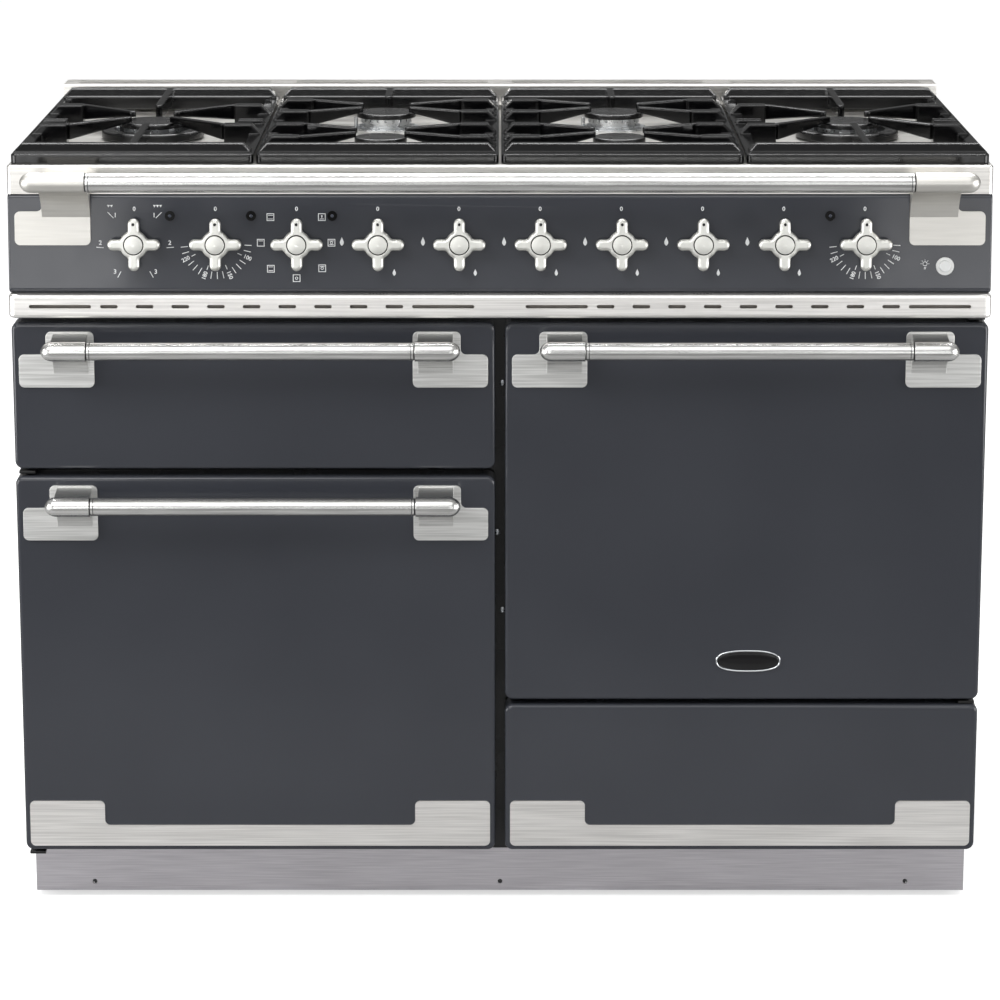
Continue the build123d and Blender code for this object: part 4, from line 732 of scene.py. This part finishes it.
def flame_marks():
    """High flame at the left of each burner knob and low flame below it at the right."""
    parts = []
    for place, height, width in FLAMES:
        row = knob_row(flat_print([flame(height, width)]), len(BURNER_KNOBS))
        parts.append((row, moved(*place)))
    printed("panel_flame_marks", parts, "knob_burner_1")


# Heat dial: degrees of its ticks, clockwise from the right, its numbers by tick, and radii
HEAT_START = -3.0
HEAT_STEP = 10.7
HEAT_TICKS = 17
HEAT_LABELS = {2: "100", 6: "150", 10: "180", 14: "220"}
HEAT_DIGITS = 4.4
LABEL_RADIUS = 38.0
LONG_TICK = (31.5, 39.5)
SHORT_TICK = (26.0, 31.0)


def tick(inner, outer):
    """Printed stroke between two radii."""
    return flat_print([bar(inner, 0, outer, 0)])


def heat_dial(knob):
    """Half circle of heat ticks below a knob, with a number outside every fourth one, which is shorter."""
    long_tick = tick(*LONG_TICK)
    short_tick = tick(*SHORT_TICK)
    firsts = [0, *(index + 1 for index in HEAT_LABELS)]
    ends = [*HEAT_LABELS, HEAT_TICKS]
    step = math.radians(-HEAT_STEP)
    parts = []
    for first, end in zip(firsts, ends):
        start = math.radians(HEAT_START - HEAT_STEP * first)
        arc = meshed(long_tick, DIAL, Count=end - first, Start=start, Step=step, Finish=PRINT_WHITE)
        parts.append((arc, moved()))
    for index, label in HEAT_LABELS.items():
        angle = HEAT_START - HEAT_STEP * index
        reading = angle if angle > -90 else angle + 180
        parts.append((short_tick, moved(turn=angle)))
        parts.append((digits(label, HEAT_DIGITS), moved(*spoke(angle, LABEL_RADIUS), reading)))
    printed(f"heat_dial_{knob}", parts, knob)


# Right half of the grill dial: each number's place and the ends of its stroke
GRILL_SCALE = {
    "1": ((21.5, 31.5), (30.0, 35.0), (23.5, 28.5)),
    "2": ((38.5, 0.8), (35.0, -4.6), (43.0, -4.0)),
    "3": ((22.6, -31.4), (16.0, -31.0), (19.8, -37.8)),
}
GRILL_DIGITS = 4.9
# Middle of each group of arrowheads and how many are in it
ARROW_GROUPS = [(-27.2, 2), (25.5, 3)]
ARROW_STEP = 3.4
ARROW_HALF = 1.6
ARROW_TIP = 40.2
ARROW_TOP = 43.0


def grill_dial():
    """Two scales of 1 to 3 beside the grill knob, each with its stroke, under two and three arrowheads."""
    parts = []
    for side in (-1, 1):
        for label, ((x, y), (x0, y0), (x1, y1)) in GRILL_SCALE.items():
            parts.append((flat_print([bar(side * x0, y0, side * x1, y1)]), moved()))
            parts.append((digits(label, GRILL_DIGITS), moved(side * x, y)))
    for middle, count in ARROW_GROUPS:
        for i in range(count):
            x = middle + ARROW_STEP * (i - (count - 1) / 2)
            arrow = [(x - ARROW_HALF, ARROW_TOP), (x, ARROW_TIP), (x + ARROW_HALF, ARROW_TOP)]
            parts.append((flat_print([arrow]), moved()))
    printed("grill_dial", parts, "knob_grill")


ICON_HALF = 4.2
ICON_STROKES = {
    "top": [rectangle(-2.6, 1.7, 2.6, 2.4)],
    "bottom": [rectangle(-2.6, -2.4, 2.6, -1.7)],
    "fan": [ring(0, 0, 1.7), ring(0, 0, 1.0)],
    "lamp": [ring(0, 1.2, 0.9, 12), rectangle(-2.4, -2.4, 2.4, -1.7), rectangle(-0.4, -1.2, 0.4, 0.0)],
}
# Place and strokes of the sign of each oven function
FUNCTIONS = [
    ((-29.5, 29.5), ("top", "bottom")),
    ((-40.5, 1.0), ("top",)),
    ((-29.5, -28.0), ("top", "bottom")),
    ((-1.0, -38.5), ("fan",)),
    ((27.5, -27.5), ("top", "fan")),
    ((38.0, 1.0), ("top", "bottom", "fan")),
    ((27.5, 29.5), ("lamp",)),
]


def function_icon(kinds):
    """Square frame with the strokes of one oven function inside it."""
    inner = ICON_HALF - STROKE
    loops = [rectangle(-half, -half, half, half) for half in (ICON_HALF, inner)]
    for kind in kinds:
        loops += ICON_STROKES[kind]
    return flat_print(loops)


def function_dial():
    """Seven oven function signs round the function knob."""
    parts = [(function_icon(kinds), moved(*place)) for place, kinds in FUNCTIONS]
    printed("function_dial", parts, "knob_left_oven_function")


LAMP_SIGN_PLACE = (67.0, -23.5)
BULB_RISE = 1.0
BULB_RADII = (2.6, 2.0)
BULB_BASE = [rectangle(-1.1, -3.6, 1.1, -2.9), rectangle(-1.1, -4.9, 1.1, -4.2)]
RAY_RADII = (3.5, 5.0)
RAY_WIDTH = 0.5


def lamp_sign():
    """Bulb outline with short rays, beside the oven light button."""
    loops = [ring(0, BULB_RISE, radius) for radius in BULB_RADII] + BULB_BASE
    for angle in range(0, 181, 45):
        (x0, y0), (x1, y1) = (spoke(angle, radius) for radius in RAY_RADII)
        loops.append(bar(x0, BULB_RISE + y0, x1, BULB_RISE + y1, RAY_WIDTH))
    printed("lamp_sign", [(flat_print(loops), moved(*LAMP_SIGN_PLACE))], "knob_right_oven_heat")


DOT_STEP = 3.8
DOT_HALF = (0.7, 0.9)
WIDE_DOT_HALF = (1.5, 0.9)
DOTS_FORWARD = 4.5 * MM


def zone_marks():
    """Six dots on the ledge below each burner knob, of which its own is wider, to tell the burners apart."""
    count = len(BURNER_KNOBS)
    parts = []
    for own, knob in enumerate(BURNER_KNOBS):
        for dot in range(count):
            x = knob_seat(knob).x / MM + DOT_STEP * (dot - (count - 1) / 2)
            wide, deep = WIDE_DOT_HALF if dot == own else DOT_HALF
            parts.append((flat_print([rectangle(x - wide, -deep, x + wide, deep)]), moved()))
    mesh = joined(parts)
    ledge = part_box("vent_strip")[1].z
    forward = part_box("control_panel")[0].y - DOTS_FORWARD
    mesh.transform(Matrix.Translation((0, forward, ledge + PRINT_THICK / 2)))
    shown("ledge_zone_marks", mesh, PRINT_BLACK, "chassis")


# Fittings on the panel. Heights in the profiles are from the knob's top and from the panel's face

KNOB_TOP = 21.0
POINTER_INSET = 6.25
POINTER_SUNK = 0.1
POINTER_PROFILE = [(0, -2.1), (1.6, -2.1), (1.6, -1.2), (1.2, -0.95), (0, -0.9)]
# Ring of painted shade in the groove round a knob's cap
GROOVE_SHADE_PROFILE = [(10.06, -2.0), (11.24, -2.0), (11.24, -1.4), (10.06, -1.4), (10.06, -2.0)]


def knob_dimples_and_groove_shades():
    """Dark filling in each knob's pointer dimple, and a ring of painted shade in the groove round its cap."""
    span = (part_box("knob_grill")[1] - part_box("knob_grill")[0]).x / MM
    dimple = Vector((0, span / 2 - POINTER_INSET, KNOB_TOP - POINTER_SUNK)) * MM
    groove = Vector((0, 0, KNOB_TOP)) * MM
    dot = turned_mesh(POINTER_PROFILE, sides=16)
    band = turned_mesh(GROOVE_SHADE_PROFILE, sides=48)
    for knob in KNOBS:
        mesh = joined([(dot, Matrix.Translation(dimple)), (band, Matrix.Translation(groove))])
        mesh.transform(dial_place(knob))
        shown(f"{knob}_inlay", mesh, GLOSS_BLACK_AND_SHADE, f"{knob}_body")


LENS_PLACE = (39.0, 31.0)
LENS_PROFILE = [(0, 2.4), (2.0, 2.4), (1.9, 2.9), (1.3, 3.4), (0, 3.6)]


def lamp_lenses():
    """Domed lens on each neon lamp: right of the first three knobs and left of the last."""
    aside, rise = LENS_PLACE
    lens = turned_mesh(LENS_PROFILE, sides=20)
    sides = {**dict.fromkeys(LEFT_KNOBS, 1), RIGHT_KNOB: -1}
    parts = [(lens, dial_place(knob) @ moved(side * aside, rise)) for knob, side in sides.items()]
    shown("neon_lenses", joined(parts), LAMP_GLASS, "chassis")


# Fittings on the body and the doors

# Strip of painted shade on the baffle: how deep it sits, its margins, and its thickness
BAFFLE_DEPTH = 9.0 * MM
BAFFLE_MARGIN = 6.0 * MM
BAFFLE_ABOVE = 4.0 * MM
BAFFLE_BELOW = 8.0 * MM
SHADE_SHEET_THICK = 0.3 * MM


def vent_shade():
    """Dull strip of painted shade on the vent strip's baffle, which shows through its slots."""
    low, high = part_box("vent_strip")
    face = low.y + BAFFLE_DEPTH
    middle = (low.z + high.z) / 2
    near = (high.x - BAFFLE_MARGIN, face, middle + BAFFLE_ABOVE)
    far = (low.x + BAFFLE_MARGIN, face - SHADE_SHEET_THICK, middle - BAFFLE_BELOW)
    shown("vent_baffle_coat", block(far, near), SLOT_SHADE, "chassis")


# Discs of painted shade behind the plinth's holes: their inset and rise, and the discs' profile
HOLE_INSET = 74 * MM
HOLE_RISE = 11 * MM
PLINTH_BACK = 2.1 * MM
SHADE_DISC_PROFILE = [(0, 0), (7.0, 0), (7.0, 1.0), (0, 1.0)]


def plinth_hole_shades():
    """Dark discs of painted shade behind the plinth's three fixing holes, so that the holes read dark."""
    low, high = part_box("plinth")
    shade_disc = turned_mesh(SHADE_DISC_PROFILE, sides=24)
    turn = Matrix.Rotation(math.radians(-90), 4, "X")
    parts = [(shade_disc, Matrix.Translation((x, low.y + PLINTH_BACK, low.z + HOLE_RISE)) @ turn)
             for x in (low.x + HOLE_INSET, 0.0, high.x - HOLE_INSET)]
    shown("plinth_hole_washers", joined(parts), FINISHES["seal_rubber"], "chassis")


OVAL_FULLNESS = 0.78
OVAL_SIDES = 96
OVAL_WIDTH = 74
OVAL_HEIGHT = 26
OVAL_X = 282.5 * MM
OVAL_RISE = 46.5 * MM
# Profiles as (inset, lift) pairs, from the outside inwards
OVAL_RIM = [(0, 0.0), (0, 1.4), (0.5, 2.2), (1.2, 2.4), (1.9, 2.0), (2.1, 0.0)]
OVAL_FIELD = [(2.2, 0.0), (2.2, 1.2), (4.0, 1.5), (7.0, 1.8), (10.0, 1.95)]


def fuller(value):
    """Share of the half width at a sine or cosine, on an oval that is fuller than an ellipse."""
    return math.copysign(abs(value) ** OVAL_FULLNESS, value)


def oval_piece(name, profile, material):
    """Closed oval piece on the face of the right oven door, from (inset, lift) pairs in millimetres."""
    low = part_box("right_oven_door")[0]
    rings = []
    for inset, lift in profile:
        half_width = (OVAL_WIDTH / 2 - inset) * MM
        half_height = (OVAL_HEIGHT / 2 - inset) * MM
        points = [spoke(360 * i / OVAL_SIDES) for i in range(OVAL_SIDES)]
        rings.append([(OVAL_X + half_width * fuller(across), low.y - lift * MM,
                       low.z + OVAL_RISE + half_height * fuller(up)) for across, up in points])
    shown(name, skinned(rings, capped=True), material, "right_door_body")


def door_plate():
    """Bare oval plate with a bright rim on the right oven door."""
    oval_piece("door_plate_rim", OVAL_RIM, FINISHES["chromed_wire"])
    oval_piece("door_plate_field", OVAL_FIELD, GLOSS_BLACK_AND_SHADE)


HANDLE_BODIES = {
    "grill_door_handle": "grill_door_body",
    "left_door_handle": "left_door_body",
    "right_door_handle": "right_door_body",
}
# Where a handle's bar starts from the handle's end, and its axis behind the handle's front and below its top
BAR_START = 80.5 * MM
BAR_BEHIND = 11 * MM
BAR_BELOW = 13 * MM
BAR_RADIUS = 10.0
# Sections of the two dark lines of painted shade at a bar's end: millimetres over the bar's radius and along
# it
COLLAR_SHADE_SECTIONS = [
    [(-1.6, 0.1), (-0.5, 0.1), (-0.5, 1.4), (-1.6, 1.4), (-1.6, 0.1)],
    [(-0.3, 4.0), (0.08, 4.1), (0.08, 4.8), (-0.3, 4.9), (-0.3, 4.0)],
]


def collar_shade_piece(name, body, ends, y, z, radius):
    """Dark lines of painted shade at both ends of a bar with a radius in millimetres: one in its groove and
    one beside it.
    """
    profiles = [[(radius + over, along) for over, along in section] for section in COLLAR_SHADE_SECTIONS]
    lines = [turned_mesh(profile, sides=40) for profile in profiles]
    parts = []
    for x, way in zip(ends, (90, -90)):
        place = Matrix.Translation((x, y, z)) @ Matrix.Rotation(math.radians(way), 4, "Y")
        parts += [(line, place) for line in lines]
    shown(f"{name}_collar_lines", joined(parts), FINISHES["black_plastic"], body)


def collar_shade_lines():
    """Dark lines of painted shade where each bar meets its end castings."""
    for name, body in HANDLE_BODIES.items():
        low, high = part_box(name)
        ends = (low.x + BAR_START, high.x - BAR_START)
        collar_shade_piece(name, body, ends, low.y + BAR_BEHIND, high.z - BAR_BELOW, BAR_RADIUS)
    low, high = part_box("front_rail")
    middle = (low + high) / 2
    collar_shade_piece("front_rail", "chassis", (low.x, high.x), middle.y, middle.z, (high.z - low.z) / 2 / MM)


SCREW_PROFILE = [(0, -0.4), (3.6, -0.4), (3.6, 0.2), (3.0, 0.6), (1.8, 0.85), (0, 0.9)]
SCREW_INSET = 9 * MM
SCREW_COLUMNS = 6
SCREW_ROWS = 5
# X and Z of the screws in the gap between the doors
GAP_SCREWS = [(-3.2 * MM, 438 * MM), (3.0 * MM, 612 * MM), (3.0 * MM, 346 * MM)]


def screws(name, points, way):
    """Low domed screw heads at points on the body, all facing one way."""
    host = bpy.data.meshes.new(name)
    host.from_pydata(points, [], [])
    facing = host.attributes.new("facing", "FLOAT_VECTOR", "POINT")
    facing.data.foreach_set("vector", way * len(points))
    head = new_object("head", turned_mesh(SCREW_PROFILE, sides=16))
    mesh = meshed(host, SCREWS, Head=head, Finish=ZINC)
    bpy.data.objects.remove(head)
    shown(name, mesh, ZINC, "chassis")


def spaced(low, high, count):
    """Evenly spaced values between two edges, with the screws' inset at both."""
    return [low + SCREW_INSET + (high - low - 2 * SCREW_INSET) * i / (count - 1) for i in range(count)]


def body_screws():
    """Rows of screws round the back panel, and the few that show in the gap between the doors."""
    low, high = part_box("back_panel")
    columns = spaced(low.x, high.x, SCREW_COLUMNS)
    rows = spaced(low.z, high.z, SCREW_ROWS)
    back = [(x, high.y, z) for x in columns for z in (rows[0], rows[-1])]
    back += [(x, high.y, z) for z in rows[1:-1] for x in (columns[0], columns[-1])]
    screws("back_panel_screws", back, (0, 1, 0))
    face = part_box("front_frame")[0].y
    screws("front_frame_screws", [(x, face, z) for x, z in GAP_SCREWS], (0, -1, 0))


# Stage: floor, surround, soft lamps and camera, in metres

FLOOR_REACH = 40.0
FLOOR_SEEN = 0.86
FLOOR_GLOW = 0.62
DARK_FROM = -4.2
BRIGHT_FROM = -5.2
# Grey of the floor in reflections, along Y: pale far in front of the cooker and dark nearer to it
FLOOR_STOPS = [(-8.0, 0.9), (BRIGHT_FROM, 0.9), (DARK_FROM, 0.28), (-1.5, 0.28), (-0.9, 0.55), (0.0, 0.55)]


def pale_floor():
    """Wide pale floor that shows near white and keeps the cooker's shadow."""
    material = bpy.data.materials.new("studio_floor")
    tree = cleared(material)
    path = add(tree, "ShaderNodeLightPath").outputs
    forward = place_along(tree, "Y")
    start = FLOOR_STOPS[0][0]
    end = FLOOR_STOPS[-1][0]
    stops = [((y - start) / (end - start), grey) for y, grey in FLOOR_STOPS]
    mirrored = grey_ramp(tree, mapped(tree, forward, (start, end)), stops)
    seen = combined(tree, "MULTIPLY", path["Is Camera Ray"], FLOOR_SEEN)
    paint = add(tree, "ShaderNodeBsdfDiffuse", {"Color": combined(tree, "MAXIMUM", seen, mirrored)})
    far = mapped(tree, forward, (DARK_FROM, BRIGHT_FROM))
    glossy = combined(tree, "MULTIPLY", far, path["Is Glossy Ray"])
    lifted = combined(tree, "MAXIMUM", path["Is Camera Ray"], glossy)
    strength = combined(tree, "MULTIPLY", lifted, FLOOR_GLOW)
    glow = add(tree, "ShaderNodeEmission", {"Color": WHITE, "Strength": strength})
    both = add(tree, "ShaderNodeAddShader", {0: paint.outputs["BSDF"], 1: glow.outputs["Emission"]})
    add(tree, "ShaderNodeOutputMaterial", {"Surface": both.outputs["Shader"]})
    mesh = bpy.data.meshes.new("floor")
    corners = rectangle(-FLOOR_REACH, -FLOOR_REACH, FLOOR_REACH, FLOOR_REACH)
    mesh.from_pydata([(x, y, 0) for x, y in corners], [], [(0, 1, 2, 3)])
    mesh.materials.append(material)
    floor = new_object("floor", mesh)


# Grey of the surround by the sine of the height above the horizon
SKY_STOPS = [(0.0, 0.25), (0.2, 0.14), (0.36, 0.5), (0.75, 0.85), (1.0, 0.7)]
SKY_STRENGTH = 0.7


def surround():
    """Studio surround: bright above, darker near the horizon, and white to the camera past the floor."""
    world = bpy.data.worlds.new("studio")
    bpy.context.scene.world = world
    tree = cleared(world)
    way = add(tree, "ShaderNodeTexCoord").outputs["Generated"]
    height = add(tree, "ShaderNodeSeparateXYZ", {"Vector": way}).outputs["Z"]
    grey = grey_ramp(tree, height, SKY_STOPS)
    soft = add(tree, "ShaderNodeBackground", {"Color": grey, "Strength": SKY_STRENGTH})
    white = add(tree, "ShaderNodeBackground", {"Color": WHITE, "Strength": 1.0})
    camera_ray = add(tree, "ShaderNodeLightPath").outputs["Is Camera Ray"]
    both = add(tree, "ShaderNodeMixShader",
               {0: camera_ray, 1: soft.outputs["Background"], 2: white.outputs["Background"]})
    add(tree, "ShaderNodeOutputWorld", {"Surface": both.outputs["Shader"]})


def soft_lamp(name, place, target, size, power, lights=True, mirrored=True):
    """Rectangular soft lamp aimed at a point. It can light only, or show only in reflections."""
    light = bpy.data.lights.new(name, "AREA")
    light.shape = "RECTANGLE"
    light.size, light.size_y = size
    light.energy = power
    lamp = new_object(name, light)
    lamp.location = place
    lamp.rotation_mode = "QUATERNION"
    lamp.rotation_quaternion = (Vector(target) - Vector(place)).to_track_quat("-Z", "Y")
    lamp.visible_camera = False
    lamp.visible_diffuse = lights
    lamp.visible_glossy = mirrored


def lamps():
    """Soft lamps round the cooker, and cards that are seen only in its reflections."""
    soft_lamp("key", (-1.6, -2.6, 3.0), (0, -0.2, 0.5), (2.6, 1.4), 52)
    soft_lamp("top", (0, -0.2, 3.4), (0, -0.2, 0.8), (2.4, 0.5), 30, mirrored=False)
    soft_lamp("overhead card", (0, 0.65, 3.1), (0, 0.3, 0.8), (3.0, 0.65), 130, lights=False)
    soft_lamp("front card", (0, -2.2, 3.0), (0, -0.3, 0.7), (3.0, 2.2), 36, lights=False)
    soft_lamp("low card", (0, -4.3, 1.6), (0, 0, 0.9), (1.6, 1.2), 3.5, lights=False)
    soft_lamp("rear", (0, 2.6, 3.2), (0, 0, 0.6), (2.6, 1.0), 26)
    doors = (0, -0.3, 0.6)
    tall = (0.9, 1.6)
    for name, side, front_power in (("left", -1, 20), ("right", 1, 13)):
        soft_lamp(f"{name} front", (1.45 * side, -4.2, 1.0), (0, 0, 0.8), (1.3, 1.5), front_power)
        soft_lamp(f"{name} side", (2.6 * side, -0.9, 0.7), doors, tall, 26)
        soft_lamp(f"{name} edge card", (2.6 * side, -1.8, 0.7), doors, tall, 30, lights=False)


CAMERA_DISTANCE = 4.005
CAMERA_ABOVE_HOB = 0.593
CAMERA_PITCH = 12.41
CAMERA_LENS = 131.5
CAMERA_SENSOR = 36
CAMERA_SHIFT = -0.08
CAMERA_FAR = 200


def camera():
    """Long lens in front of the cooker, above the hob and tilted down."""
    lens = bpy.data.cameras.new("camera")
    lens.lens = CAMERA_LENS
    lens.sensor_width = CAMERA_SENSOR
    lens.shift_y = CAMERA_SHIFT
    lens.clip_end = CAMERA_FAR
    eye = new_object("camera", lens)
    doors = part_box("left_oven_door")[0].y
    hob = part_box("hob_plate")[1].z
    eye.location = (0, doors - CAMERA_DISTANCE, hob + CAMERA_ABOVE_HOB)
    eye.rotation_euler = (math.radians(90 - CAMERA_PITCH), 0, 0)
    bpy.context.scene.camera = eye


zero_marks()
flame_marks()
heat_dial("knob_left_oven_heat")
heat_dial("knob_right_oven_heat")
grill_dial()
function_dial()
lamp_sign()
zone_marks()
knob_dimples_and_groove_shades()
lamp_lenses()
vent_shade()
plinth_hole_shades()
door_plate()
collar_shade_lines()
body_screws()
pale_floor()
surround()
lamps()
camera()
bpy.context.scene.view_settings.view_transform = "Standard"
